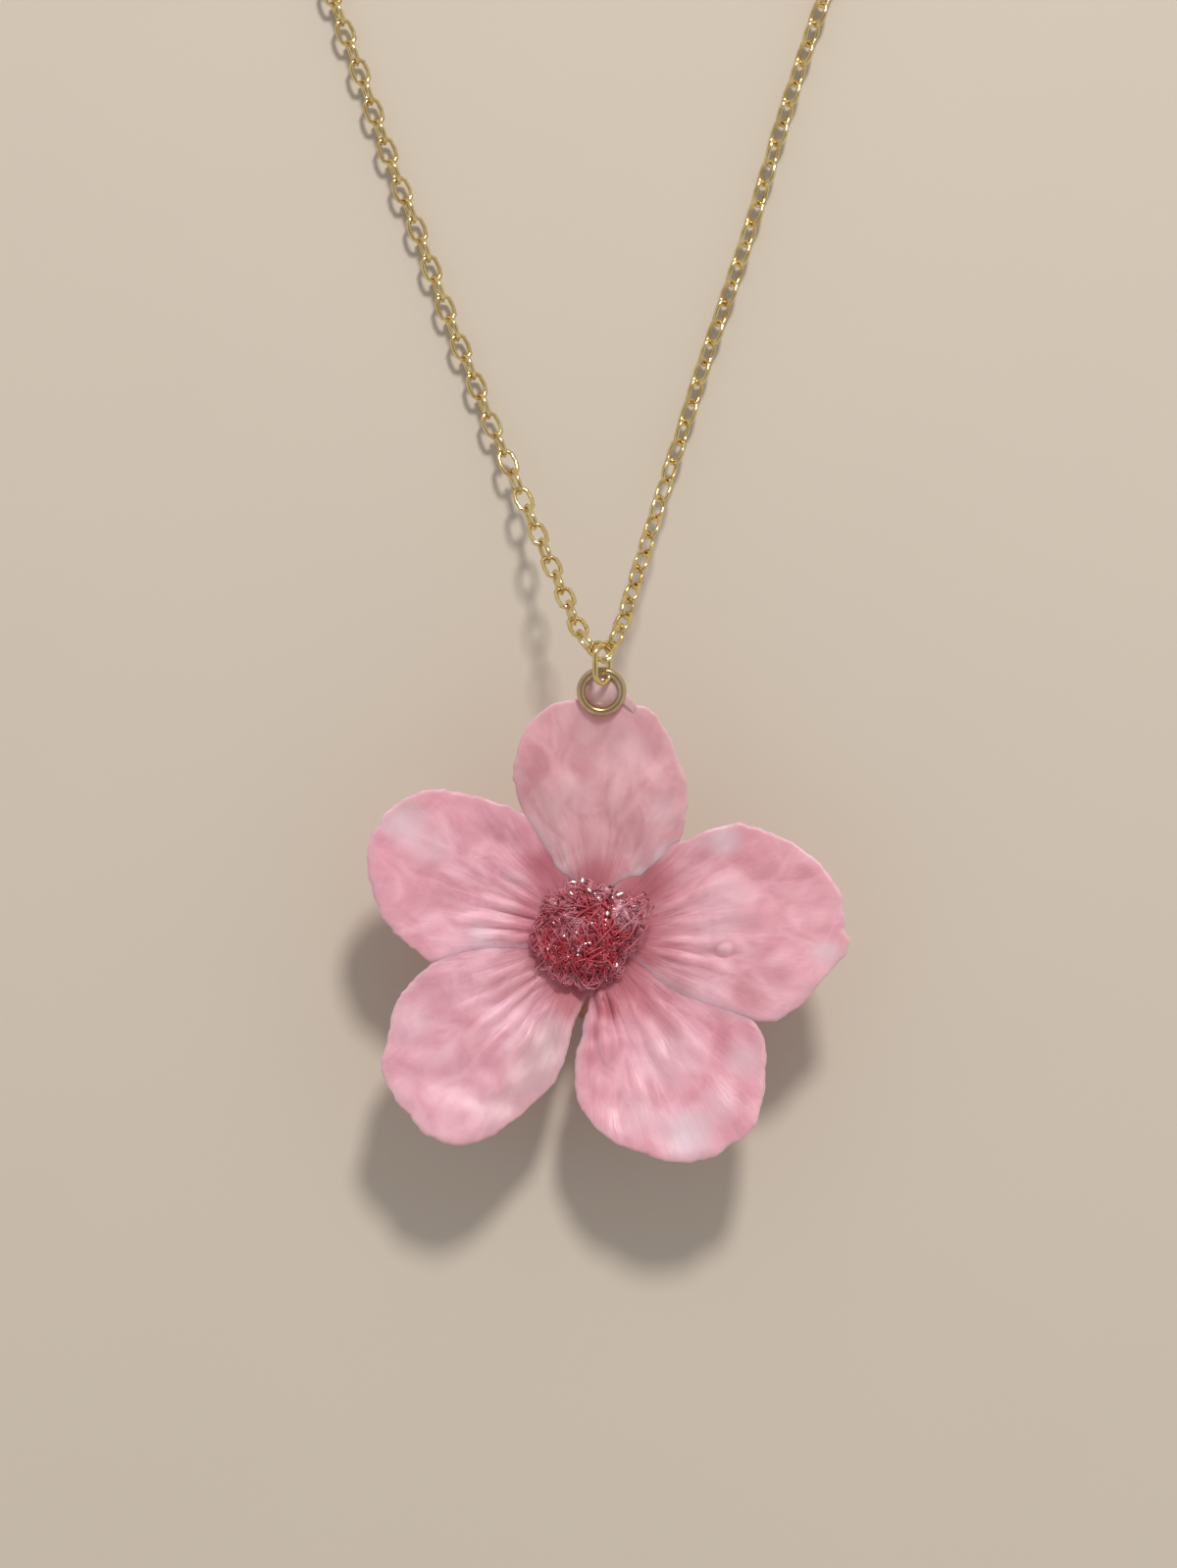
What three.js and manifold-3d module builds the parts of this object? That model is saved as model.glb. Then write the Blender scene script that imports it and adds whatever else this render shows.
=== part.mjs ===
// A cherry blossom kept under a clear coat and worn as a pendant, laid on its back with its face up.
// Millimetres. +Z points up out of the flower's face, and +Y runs along the top petal to the ring.
import * as THREE from 'three';
import { mergeVertices } from 'three/addons/utils/BufferGeometryUtils.js';
import Module from 'manifold-3d';

const wasm = await Module();
wasm.setup();

// ---- Driving sizes, from the flower's axis and the surface that it lies on ----

const PETAL_THICKNESS = 0.5;
const PETAL_GRID = 14; // cells each way across a petal
const PETAL_HALF_WIDTH = 6; // the sideways distance that cup and tilt are given at
const CLAW_RADIUS = 2.0; // where a petal starts, from the flower's axis
const OPENING_REACH = 0.35; // share of a petal's length over which its cup and tilt come in

const STAMEN_COUNT = 24;
const FILAMENT_RADIUS = 0.08;
const FILAMENT_SIDES = 5;
const FILAMENT_STEPS = 5;
const ANTHER_RADIUS = 0.17;
const ANTHER_STRETCH = 1.5;

const HYPANTHIUM_RIM_RADIUS = 1.8;
const HYPANTHIUM_RIM_HEIGHT = 4.3;
const THROAT_RADIUS = 1.35;
const THROAT_FLOOR = 2.2;
const PEDICEL_RADIUS = 0.6;
const SEPAL_COUNT = 5;
const SEPAL_LENGTH = 4.6; // outward, seen from above
const SEPAL_HALF_WIDTH = 0.95;
const SEPAL_THICKNESS = 0.34;
const SEPAL_FIRST_ANGLE = 46; // degrees, between the right petal and the top petal

const RING_CENTRE = new THREE.Vector3(0.55, 16.6, 9.45);
const RING_RADIUS = 1.37; // to the middle of its wire
const RING_WIRE = 0.33; // radius
const RING_SLOPE = 12; // degrees, rising outwards with the petal under it

const LINK_CENTRE = new THREE.Vector3(0.6, 18.45, 9.78);
const LINK_HALF_WIDTH = 0.76;
const LINK_STRAIGHT = 0.5; // half of each straight side
const LINK_WIRE = 0.2;
const LINK_TWIST = 50; // degrees about its length

const CHAIN_DIAMETER = 1.45;
const CHAIN_SIDES = 8;
const CHAIN_STEP = 3.6; // about two and a half diameters
const CHAIN_REST_HEIGHT = 0.76; // middle of the chain where it lies on the surface
const COIL_OUTER_TURN = 8.7; // radius of the outermost turn's middle line
const COIL_INNER_TURN = 6.3;
const COIL_HEIGHT = 2.95; // two layers of chain
const COIL_LIFT = 0.02;

const HOOK_WIRE = 0.4; // radius
const CLASP_RING_RADIUS = 1.35;
const CLASP_RING_WIRE = 0.38;

// ---- Petals ----
// outline: the petal seen from above, counterclockwise from its claw.
// axis: the way the petal points, in degrees. length: from the flower's axis to the tip.
// base: height at the claw. lift: how much higher the tip is. bow: above 1, the rise comes late.
// cup: lift of both side edges. tilt: lift of the counterclockwise edge and drop of the other.

const PETALS = [
  {
    name: 'petal_top',
    colour: 0xcfa0a8,
    axis: 88,
    length: 16.8,
    base: 5.35,
    lift: 3.1,
    bow: 1.3,
    cup: 0.55,
    tilt: 0,
    centre: [0.5, 10],
    outline: [
      [0.8, 2.1], [1.3, 3.2], [2.4, 3.75], [3.6, 4.1], [4.8, 5.1], [5.8, 6.5], [6.35, 8.2],
      [6.4, 10.0], [5.9, 11.8], [5.1, 13.6], [4.2, 14.9], [2.7, 15.9], [0.6, 16.7], [-1.6, 16.2],
      [-3.4, 15.2], [-4.7, 13.9], [-5.3, 12.2], [-5.4, 10.4], [-5.0, 8.9], [-4.4, 7.8],
      [-3.7, 6.5], [-3.0, 5.4], [-2.6, 4.5], [-1.8, 3.8], [-1.0, 3.1], [-0.5, 2.1],
    ],
  },
  {
    name: 'petal_left',
    colour: 0xdea3b0,
    axis: 163,
    length: 16.2,
    base: 4.9,
    lift: 3.3,
    bow: 1.3,
    cup: 0.35,
    tilt: 0.45,
    centre: [-8.5, 4.2],
    outline: [
      [-1.7, 1.3], [-2.3, 2.9], [-3.3, 5.2], [-4.3, 7.3], [-5.2, 8.5], [-6.3, 8.9], [-7.8, 9.5],
      [-9.4, 9.9], [-10.9, 10.0], [-12.4, 9.6], [-13.7, 8.7], [-14.8, 7.4], [-15.35, 5.8],
      [-15.3, 4.2], [-14.9, 2.5], [-14.2, 1.1], [-13.2, -0.1], [-12.1, -1.0], [-11.0, -1.75],
      [-9.6, -1.5], [-7.8, -1.15], [-5.9, -1.1], [-4.4, -0.9], [-3.0, -0.5], [-2.0, -0.1],
    ],
  },
  {
    name: 'petal_lower_left',
    colour: 0xdfb0bd,
    axis: 228,
    length: 18.3,
    base: 4.6,
    lift: 3.5,
    bow: 1.3,
    cup: 0.3,
    tilt: 0.45,
    centre: [-7.6, -7.2],
    outline: [
      [-2.0, -1.25], [-3.2, -1.4], [-4.8, -1.0], [-6.5, -0.5], [-8.5, -0.4], [-10.0, -0.9],
      [-11.2, -2.0], [-12.2, -3.0], [-13.1, -4.0], [-13.7, -5.2], [-14.0, -6.8], [-14.35, -8.3],
      [-14.2, -9.8], [-13.4, -11.1], [-12.5, -12.2], [-11.7, -13.2], [-10.5, -13.9],
      [-8.9, -14.25], [-7.2, -13.7], [-5.5, -12.6], [-4.0, -11.4], [-2.8, -10.2], [-2.1, -8.9],
      [-1.7, -7.6], [-1.55, -6.2], [-1.3, -4.8], [-0.95, -3.4], [-0.8, -2.1],
    ],
  },
  {
    name: 'petal_lower_right',
    colour: 0xdba3ad,
    axis: 296,
    length: 16.6,
    base: 4.6,
    lift: 3.5,
    bow: 1.3,
    cup: 0.3,
    tilt: -0.45,
    centre: [5.2, -8.8],
    outline: [
      [0.3, -2.0], [-0.05, -3.4], [-0.1, -4.8], [-0.5, -6.3], [-1.0, -7.6], [-1.3, -9.2],
      [-1.15, -10.8], [-0.6, -12.1], [0.4, -13.3], [1.7, -14.1], [3.3, -14.8], [4.9, -15.2],
      [6.3, -15.35], [7.8, -15.05], [8.7, -14.8], [9.3, -14.1], [10.3, -13.6], [11.0, -12.8],
      [11.5, -11.2], [11.75, -9.4], [11.7, -7.6], [11.2, -6.1], [10.2, -4.9], [8.4, -3.9],
      [6.3, -3.4], [4.7, -3.3], [3.3, -3.15], [2.2, -2.6], [1.5, -1.7],
    ],
  },
  {
    name: 'petal_right',
    colour: 0xdea6b2,
    axis: 2,
    length: 17.5,
    base: 4.9,
    lift: 3.3,
    bow: 1.3,
    cup: 0.35,
    tilt: -0.45,
    centre: [9.5, 1.0],
    outline: [
      [2.0, -0.7], [2.7, -1.6], [3.8, -2.7], [5.3, -3.8], [7.4, -4.8], [9.5, -5.4], [11.3, -5.8],
      [12.4, -5.75], [13.4, -5.2], [14.5, -4.3], [15.4, -3.2], [16.4, -2.0], [17.2, -1.1],
      [17.4, -0.3], [17.1, 0.6], [17.05, 1.6], [16.8, 2.9], [16.1, 4.2], [15.0, 5.4],
      [13.6, 6.4], [12.0, 7.1], [10.0, 7.7], [8.3, 7.4], [7.0, 6.9], [6.0, 6.6], [4.9, 5.8],
      [3.9, 4.8], [2.9, 3.2], [2.2, 1.6], [1.9, 0.7],
    ],
  },
];

// ---- Helpers ----

const radians = THREE.MathUtils.degToRad;

function material(colour, roughness, metalness) {
  return new THREE.MeshStandardMaterial({ color: colour, roughness, metalness });
}

function piece(name, geometry, surface) {
  const mesh = new THREE.Mesh(geometry, surface);
  mesh.name = name;
  return mesh;
}

// Vertices at equal places become one, so that a closed shape has shared vertices.
function welded(geometry) {
  const bare = geometry.clone();
  bare.deleteAttribute('normal');
  bare.deleteAttribute('uv');
  return mergeVertices(bare, 1e-4);
}

function toSolid(geometry) {
  const merged = welded(geometry);
  return new wasm.Manifold(new wasm.Mesh({
    numProp: 3,
    vertProperties: new Float32Array(merged.attributes.position.array),
    triVerts: new Uint32Array(merged.index.array),
  }));
}

function toGeometry(solid) {
  const mesh = solid.getMesh();
  const geometry = new THREE.BufferGeometry();
  geometry.setAttribute('position', new THREE.BufferAttribute(mesh.vertProperties, 3));
  geometry.setIndex(new THREE.BufferAttribute(mesh.triVerts, 1));
  geometry.computeVertexNormals();
  return geometry;
}

// A flat box bent into a thin closed sheet. surface(u, v) gives the middle of the sheet for u and
// v from -1 to 1, and the box's own upper and lower faces become the sheet's two sides.
function sheet(surface, thickness, cellsU, cellsV) {
  const box = new THREE.BoxGeometry(2, 2, 2, cellsU, cellsV, 1);
  const corners = box.attributes.position;
  for (let i = 0; i < corners.count; i += 1) {
    const point = surface(corners.getX(i), corners.getY(i));
    corners.setXYZ(i, point.x, point.y, point.z + corners.getZ(i) * thickness / 2);
  }
  box.computeVertexNormals();
  return box;
}

// A profile of [radius, height] pairs turned about the Z axis.
function turned(profile, segments) {
  const points = profile.map(([radius, height]) => new THREE.Vector2(radius, height));
  const geometry = new THREE.LatheGeometry(points, segments);
  geometry.rotateX(Math.PI / 2);
  return geometry;
}

function circleShape(radius, sides) {
  const corners = [];
  for (let i = 0; i < sides; i += 1) {
    const turn = 2 * Math.PI * i / sides;
    corners.push(new THREE.Vector2(radius * Math.cos(turn), radius * Math.sin(turn)));
  }
  return new THREE.Shape(corners);
}

function tube(path, radius, sides, steps) {
  return new THREE.ExtrudeGeometry(circleShape(radius, sides), { steps, extrudePath: path });
}

// ---- Petals ----

function petalHeight(petal, x, y) {
  const axis = radians(petal.axis);
  const along = x * Math.cos(axis) + y * Math.sin(axis);
  const across = y * Math.cos(axis) - x * Math.sin(axis);
  const reach = Math.max(0, (along - CLAW_RADIUS) / (petal.length - CLAW_RADIUS));
  const sideways = across / PETAL_HALF_WIDTH;
  const opened = THREE.MathUtils.smoothstep(reach, 0, OPENING_REACH);
  const rise = petal.lift * reach ** petal.bow;
  return petal.base + rise + opened * (petal.cup * sideways ** 2 + petal.tilt * sideways);
}

function makePetal(petal) {
  const corners = petal.outline.map(([x, y]) => new THREE.Vector3(x, y, 0));
  const edge = new THREE.CatmullRomCurve3(corners, true, 'centripetal');
  const [centreX, centreY] = petal.centre;
  const surface = (u, v) => {
    // The square of u and v is rounded to a disc, and the disc is stretched to the outline.
    const discX = u * Math.sqrt(1 - v * v / 2);
    const discY = v * Math.sqrt(1 - u * u / 2);
    const radius = Math.min(1, Math.hypot(discX, discY));
    const turn = Math.atan2(discY, discX) / (2 * Math.PI);
    const rim = edge.getPointAt((turn + 1) % 1);
    const x = centreX + radius * (rim.x - centreX);
    const y = centreY + radius * (rim.y - centreY);
    return new THREE.Vector3(x, y, petalHeight(petal, x, y));
  };
  const geometry = sheet(surface, PETAL_THICKNESS, PETAL_GRID, PETAL_GRID);
  return piece(petal.name, geometry, material(petal.colour, 0.35, 0));
}

// ---- Stamens and pistil ----

// Long, middle and short stamens: where the filament starts and where the anther sits.
const STAMEN_KINDS = [
  { foot: 1.12, tipRadius: 3.75, tipHeight: 6.85 },
  { foot: 0.84, tipRadius: 1.6, tipHeight: 8.3 },
  { foot: 1.12, tipRadius: 2.8, tipHeight: 7.75 },
  { foot: 0.84, tipRadius: 0.95, tipHeight: 8.0 },
];
const STAMEN_FOOT_HEIGHT = 3.9;

function makeStamen(index) {
  const kind = STAMEN_KINDS[index % STAMEN_KINDS.length];
  const turn = 2 * Math.PI * index / STAMEN_COUNT;
  const at = (radius, height) => new THREE.Vector3(
    radius * Math.cos(turn),
    radius * Math.sin(turn),
    height,
  );
  const kneeHeight = STAMEN_FOOT_HEIGHT + 0.6 * (kind.tipHeight - STAMEN_FOOT_HEIGHT);
  const kneeRadius = kind.foot + 0.2 * (kind.tipRadius - kind.foot);
  const path = new THREE.QuadraticBezierCurve3(
    at(kind.foot, STAMEN_FOOT_HEIGHT),
    at(kneeRadius, kneeHeight),
    at(kind.tipRadius, kind.tipHeight),
  );
  const filament = tube(path, FILAMENT_RADIUS, FILAMENT_SIDES, FILAMENT_STEPS);
  const anther = new THREE.SphereGeometry(ANTHER_RADIUS, 8, 6);
  anther.scale(1, ANTHER_STRETCH, 1);
  anther.rotateZ(turn);
  anther.translate(...at(kind.tipRadius, kind.tipHeight).toArray());
  const geometry = toGeometry(toSolid(filament).add(toSolid(anther)));
  const number = String(index + 1).padStart(2, '0');
  return piece(`stamen_${number}`, geometry, material(0x8f1f2b, 0.4, 0));
}

function makePistil() {
  const profile = [
    [0, 2.35], [0.3, 2.5], [0.42, 3.0], [0.3, 3.6], [0.13, 4.1], [0.1, 6.6], [0.22, 7.0],
    [0.24, 7.15], [0, 7.25],
  ];
  return piece('pistil', turned(profile, 10), material(0xb3505f, 0.4, 0));
}

// ---- Calyx: the cup under the petals, its five sepals and the cut stub of the stalk ----

function makeHypanthium() {
  const profile = [
    [0, 0], [PEDICEL_RADIUS, 0], [PEDICEL_RADIUS, 0.6], [1.0, 1.0], [1.35, 1.9], [1.4, 3.0],
    [HYPANTHIUM_RIM_RADIUS, HYPANTHIUM_RIM_HEIGHT - 0.2], [1.65, HYPANTHIUM_RIM_HEIGHT],
    [THROAT_RADIUS, HYPANTHIUM_RIM_HEIGHT - 0.35], [1.0, 3.0], [0.8, THROAT_FLOOR],
    [0, THROAT_FLOOR],
  ];
  return turned(profile, 20);
}

// A sepal leaves the cup's rim, arches out and comes down on its pointed tip.
function makeSepal(angle) {
  const startRadius = 1.45;
  const startHeight = HYPANTHIUM_RIM_HEIGHT - 0.65;
  const tipHeight = SEPAL_THICKNESS / 2 + 0.01;
  const surface = (u, v) => {
    const reach = (u + 1) / 2;
    const width = SEPAL_HALF_WIDTH * (0.72 + 1.6 * reach * (1 - reach)) * (1.04 - reach) ** 0.7;
    const radius = startRadius + SEPAL_LENGTH * reach;
    const height = startHeight + (tipHeight - startHeight) * reach ** 1.7;
    return new THREE.Vector3(radius, v * width, height);
  };
  const geometry = sheet(surface, SEPAL_THICKNESS, 8, 2);
  geometry.rotateZ(radians(angle));
  return geometry;
}

function makeCalyx() {
  let solid = toSolid(makeHypanthium());
  for (let i = 0; i < SEPAL_COUNT; i += 1) {
    const angle = SEPAL_FIRST_ANGLE + 360 * i / SEPAL_COUNT;
    solid = solid.add(toSolid(makeSepal(angle)));
  }
  return piece('calyx', toGeometry(solid), material(0x9a4a48, 0.5, 0));
}

// ---- Ring, connecting link and clasp ----

const GOLD = { colour: 0xd8b25a, roughness: 0.2, metalness: 1 };

function goldPiece(name, geometry) {
  return piece(name, geometry, material(GOLD.colour, GOLD.roughness, GOLD.metalness));
}

function makeRing() {
  const ring = goldPiece('embedded_ring', new THREE.TorusGeometry(RING_RADIUS, RING_WIRE, 10, 32));
  ring.position.copy(RING_CENTRE);
  ring.rotation.x = radians(RING_SLOPE);
  return ring;
}

// An oval link: a ring whose two halves are drawn apart along Y.
function ovalLink(halfWidth, straight, wire, wireSides, steps) {
  const geometry = new THREE.TorusGeometry(halfWidth, wire, wireSides, steps);
  geometry.rotateZ(Math.PI / steps); // so that no section of the wire sits on the parting line
  const corners = geometry.attributes.position;
  for (let i = 0; i < corners.count; i += 1) {
    corners.setY(i, corners.getY(i) + Math.sign(corners.getY(i)) * straight);
  }
  geometry.computeVertexNormals();
  return geometry;
}

function makeConnectingLink() {
  const geometry = ovalLink(LINK_HALF_WIDTH, LINK_STRAIGHT, LINK_WIRE, 8, 20);
  const link = goldPiece('connecting_link', geometry);
  link.position.copy(LINK_CENTRE);
  link.rotation.y = radians(LINK_TWIST);
  return link;
}

// ---- Chain: two halves that leave the connecting link and lie in a coil each ----
// The points of each half's free stretch run from the connecting link to the coil's edge. The
// chain hangs from the link, comes down on the surface and lies on it from there.

const CHAIN_LEFT_POINTS = [
  [-0.95, 21.1, 8.0], [-2.3, 23.9, 5.6], [-3.45, 26.6, 3.7], [-4.7, 29.7, 2.2],
  [-5.95, 32.7, 1.25], [-7.2, 35.6, 0.85], [-8.35, 38.6, CHAIN_REST_HEIGHT],
  [-9.9, 42.4, CHAIN_REST_HEIGHT], [-12.0, 48.2, CHAIN_REST_HEIGHT],
  [-14.1, 53.7, CHAIN_REST_HEIGHT], [-16.1, 59.5, CHAIN_REST_HEIGHT],
  [-18.05, 64.8, CHAIN_REST_HEIGHT], [-20.28, 71.0, CHAIN_REST_HEIGHT],
];
const CHAIN_RIGHT_POINTS = [
  [1.8, 21.1, 8.0], [2.75, 23.9, 5.6], [3.6, 26.6, 3.7], [4.55, 29.7, 2.2],
  [5.5, 32.7, 1.25], [6.55, 35.9, 0.85], [7.6, 39.3, CHAIN_REST_HEIGHT],
  [9.0, 43.3, CHAIN_REST_HEIGHT], [11.1, 49.6, CHAIN_REST_HEIGHT],
  [12.85, 55.4, CHAIN_REST_HEIGHT], [14.45, 60.4, CHAIN_REST_HEIGHT],
  [15.95, 64.8, CHAIN_REST_HEIGHT], [17.97, 71.0, CHAIN_REST_HEIGHT],
];
const COIL_LEFT_CENTRE = [-14.03, 79.5];
const COIL_RIGHT_CENTRE = [11.77, 79.5];

function makeChainStretch(name, route) {
  const points = route.map(([x, y, z]) => new THREE.Vector3(x, y, z));
  const path = new THREE.CatmullRomCurve3(points, false, 'centripetal');
  const steps = Math.round(path.getLength() / CHAIN_STEP);
  return goldPiece(name, tube(path, CHAIN_DIAMETER / 2, CHAIN_SIDES, steps));
}

function makeChainCoil(name, [x, y]) {
  const inner = COIL_INNER_TURN - CHAIN_DIAMETER / 2;
  const outer = COIL_OUTER_TURN + CHAIN_DIAMETER / 2;
  const soft = CHAIN_DIAMETER / 3; // how far the ring's edges are rounded back
  const profile = [
    [inner + soft, 0], [outer - soft, 0], [outer, soft], [outer, COIL_HEIGHT - soft],
    [outer - soft, COIL_HEIGHT], [inner + soft, COIL_HEIGHT], [inner, COIL_HEIGHT - soft],
    [inner, soft], [inner + soft, 0],
  ];
  const coil = goldPiece(name, turned(profile, 28));
  coil.position.set(x, y, COIL_LIFT);
  return coil;
}

// The hook of the clasp, with the eye that its half of the chain ends in. It lies flat.
function makeClaspHook() {
  const outline = [
    [1.0, 0.15], [0.25, 0.55], [-0.45, 0.2], [-0.45, -0.5], [0.25, -0.85], [1.3, -0.75],
    [2.8, -0.75], [4.1, -0.7], [4.9, -0.05], [4.7, 0.75], [3.9, 1.05], [3.2, 0.85],
  ];
  const points = outline.map(([x, y]) => new THREE.Vector3(x, y, 0));
  const path = new THREE.CatmullRomCurve3(points, false, 'centripetal');
  const hook = goldPiece('clasp_hook', tube(path, HOOK_WIRE, 8, 30));
  hook.position.set(-6.93, 88.2, HOOK_WIRE + 0.02);
  return hook;
}

function makeClaspRing() {
  const geometry = new THREE.TorusGeometry(CLASP_RING_RADIUS, CLASP_RING_WIRE, 8, 24);
  const ring = goldPiece('clasp_ring', geometry);
  ring.position.set(3.67, 88.2, CLASP_RING_WIRE + 0.02);
  return ring;
}

// ---- Assembly ----

const ownPieces = [
  ...PETALS.map(makePetal),
  ...Array.from({ length: STAMEN_COUNT }, (_, index) => makeStamen(index)),
  makePistil(),
  makeCalyx(),
  makeRing(),
  makeConnectingLink(),
];
const chainPieces = [
  makeChainStretch('chain_left', CHAIN_LEFT_POINTS),
  makeChainStretch('chain_right', CHAIN_RIGHT_POINTS),
  makeChainCoil('chain_coil_left', COIL_LEFT_CENTRE),
  makeChainCoil('chain_coil_right', COIL_RIGHT_CENTRE),
  makeClaspHook(),
  makeClaspRing(),
];

// The part's origin is under the middle of the pendant without its chain, on the surface.
const pendantBox = new THREE.Box3();
for (const mesh of ownPieces) {
  pendantBox.expandByObject(mesh, true);
}
const middle = pendantBox.getCenter(new THREE.Vector3());

const blossomPendant = new THREE.Group();
blossomPendant.name = 'cherry_blossom_pendant';
blossomPendant.position.set(-middle.x, -middle.y, -pendantBox.min.z);
blossomPendant.add(...ownPieces, ...chainPieces);
const placed = new THREE.Group();
placed.add(blossomPendant);

export default placed;
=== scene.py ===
"""Builds the looks of a cherry blossom pendant around its packed construction model.

The blossom lies on its back with its face up. It has five petals under a clear coat, a knot of
stamens, a calyx, a gold ring set in the top petal, a connecting link and a fine cable chain.
"""

import math
import random

import bmesh
import bpy
from mathutils import Matrix, Quaternion, Vector, noise


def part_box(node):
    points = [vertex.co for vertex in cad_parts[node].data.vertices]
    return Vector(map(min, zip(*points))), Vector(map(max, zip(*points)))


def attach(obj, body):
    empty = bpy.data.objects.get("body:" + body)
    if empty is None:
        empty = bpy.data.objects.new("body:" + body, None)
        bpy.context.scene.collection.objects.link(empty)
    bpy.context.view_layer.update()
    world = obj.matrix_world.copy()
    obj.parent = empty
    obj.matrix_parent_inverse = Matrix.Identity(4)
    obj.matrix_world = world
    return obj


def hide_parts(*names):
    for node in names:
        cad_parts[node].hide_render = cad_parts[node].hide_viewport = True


bl_info = {
    "name": "Cherry Blossom Pendant",
    "version": (1, 0, 0),
    "blender": (4, 5, 0),
    "location": "View3D > Sidebar > Blossom",
    "description": "Models a coated cherry blossom, its gold ring, link and chain",
    "category": "Object",
}

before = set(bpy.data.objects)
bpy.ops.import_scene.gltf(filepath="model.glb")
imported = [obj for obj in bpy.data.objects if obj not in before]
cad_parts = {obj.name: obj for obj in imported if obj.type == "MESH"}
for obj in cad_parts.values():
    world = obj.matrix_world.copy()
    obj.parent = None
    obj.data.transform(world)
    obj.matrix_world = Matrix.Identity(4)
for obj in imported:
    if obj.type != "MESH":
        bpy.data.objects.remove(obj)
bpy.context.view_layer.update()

# ---- Places and sizes, in millimetres from the flower's axis and the surface under it ----

MM = 0.001
PISTIL_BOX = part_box("pistil")
AXIS_X = (PISTIL_BOX[0][0] + PISTIL_BOX[1][0]) / 2
AXIS_Y = (PISTIL_BOX[0][1] + PISTIL_BOX[1][1]) / 2

PETAL_HALF_WIDTH = 6.0
CLAW_RADIUS = 2.0
OPENING_REACH = 0.35
PETAL_STEP = 0.05

CHAIN_DIAMETER = 1.45
CHAIN_WIRE_RADIUS = 0.165
LINK_OVERLAP = 0.62
CHAIN_REST_HEIGHT = 0.76
COIL_OUTER_TURN = 8.7
COIL_INNER_TURN = 6.3
COIL_LAYER = 1.45
COIL_POINTS_PER_TURN = 24

# The points of each half of the chain, from the connecting link to the edge of its coil. A point
# without a height lies on the surface.
CHAIN_LEFT_POINTS = [
    (0.5, 19.3, 9.75), (-0.2, 19.6, 9.5), (-0.72, 20.35, 8.9), (-1.35, 21.7, 7.6),
    (-2.35, 24.1, 5.6), (-3.5, 26.8, 3.7),
    (-4.7, 29.7, 2.2), (-5.95, 32.7, 1.25), (-7.2, 35.6, 0.85), (-8.35, 38.6),
    (-9.9, 42.4), (-12.0, 48.2), (-14.1, 53.7), (-16.1, 59.5), (-18.05, 64.8), (-20.28, 71.0),
    (-21.5, 74.5),
]
CHAIN_RIGHT_POINTS = [
    (0.8, 19.4, 9.55), (1.4, 20.0, 9.2), (1.9, 21.1, 8.2), (2.75, 23.9, 5.6),
    (3.6, 26.6, 3.7),
    (4.55, 29.7, 2.2), (5.5, 32.7, 1.25), (6.55, 35.9, 0.85), (7.6, 39.3),
    (9.0, 43.3), (11.1, 49.6), (12.85, 55.4), (14.45, 60.4), (15.95, 64.8), (17.97, 71.0),
    (19.15, 74.5),
]
COIL_LEFT_CENTRE = (-14.03, 79.5)
COIL_RIGHT_CENTRE = (11.77, 79.5)
COIL_LEFT_START = 200.0
COIL_RIGHT_START = -18.0
COIL_EXIT = 90.0
COIL_TURNS = 3

RING_CENTRE = (0.55, 16.65, 9.0)
RING_DIAMETER = 3.4
RING_WIRE_RADIUS = 0.3
RING_TILT = 12
LINK_CENTRE = (0.6, 18.45, 9.78)
LINK_LENGTH = 2.92
LINK_WIDTH = 1.92
LINK_WIRE_RADIUS = 0.2
LINK_TURN = 50

KNOT_RIM_HEIGHT = 5.5
KNOT_RISE = 1.15
# How far the knot of stamens spreads, as bearings in degrees with a radius each.
KNOT_CORNERS = [
    (0, 3.1), (12, 3.7), (33, 4.4), (45, 3.6), (60, 3.4), (78, 3.6), (100, 4.1), (120, 4.5),
    (135, 4.3), (158, 4.1), (185, 4.25), (207, 4.3), (232, 3.9), (255, 3.6), (278, 3.5),
    (297, 3.1), (320, 2.5), (345, 2.8), (360, 3.1),
]
# Pink places in the knot, each x, y, strength, outer and inner radius.
KNOT_PINK_SPOTS = [
    (-1.6, 0.8, 0.75, 1.6, 0.4), (-1.9, 2.6, 0.5, 1.6, 0.3), (0.6, 3.0, 0.6, 1.2, 0.3),
]
# Filaments at the right that stand clear of the mass in loops.
LOOPED_STAMENS = [
    ((1.2, -0.2, 6.4), (2.2, 0.7, 6.9), (3.2, 1.6, 7.1), (3.7, 2.5, 7.1)),
    ((1.0, 0.5, 6.6), (1.5, 1.5, 7.0), (2.4, 2.3, 7.2), (3.5, 2.9, 7.0)),
    ((1.6, -0.7, 6.3), (2.5, 0.0, 6.8), (2.9, 0.8, 7.0), (3.1, 1.4, 7.0)),
    ((2.0, -1.2, 6.1), (3.0, -0.3, 6.5), (3.7, 0.7, 6.7), (4.1, 2.0, 6.8)),
]
# The calyx cup from the stalk up its outside and down its inside, each a radius and a height.
CUP_PROFILE = [
    (0.0, 0.0), (0.5, 0.0), (0.6, 0.1), (0.62, 0.9), (0.75, 1.4), (1.1, 1.9), (1.45, 2.6),
    (1.66, 3.3), (1.8, 4.0), (1.8, 4.25), (1.7, 4.3), (1.5, 4.2), (1.35, 3.4), (1.2, 2.4),
    (0.0, 2.2),
]
# The middle line of a sepal, each a radius and a height.
SEPAL_SPINE = [(1.3, 3.75), (2.2, 3.65), (3.4, 2.9), (4.6, 1.75), (5.5, 0.8), (6.0, 0.3)]
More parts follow.
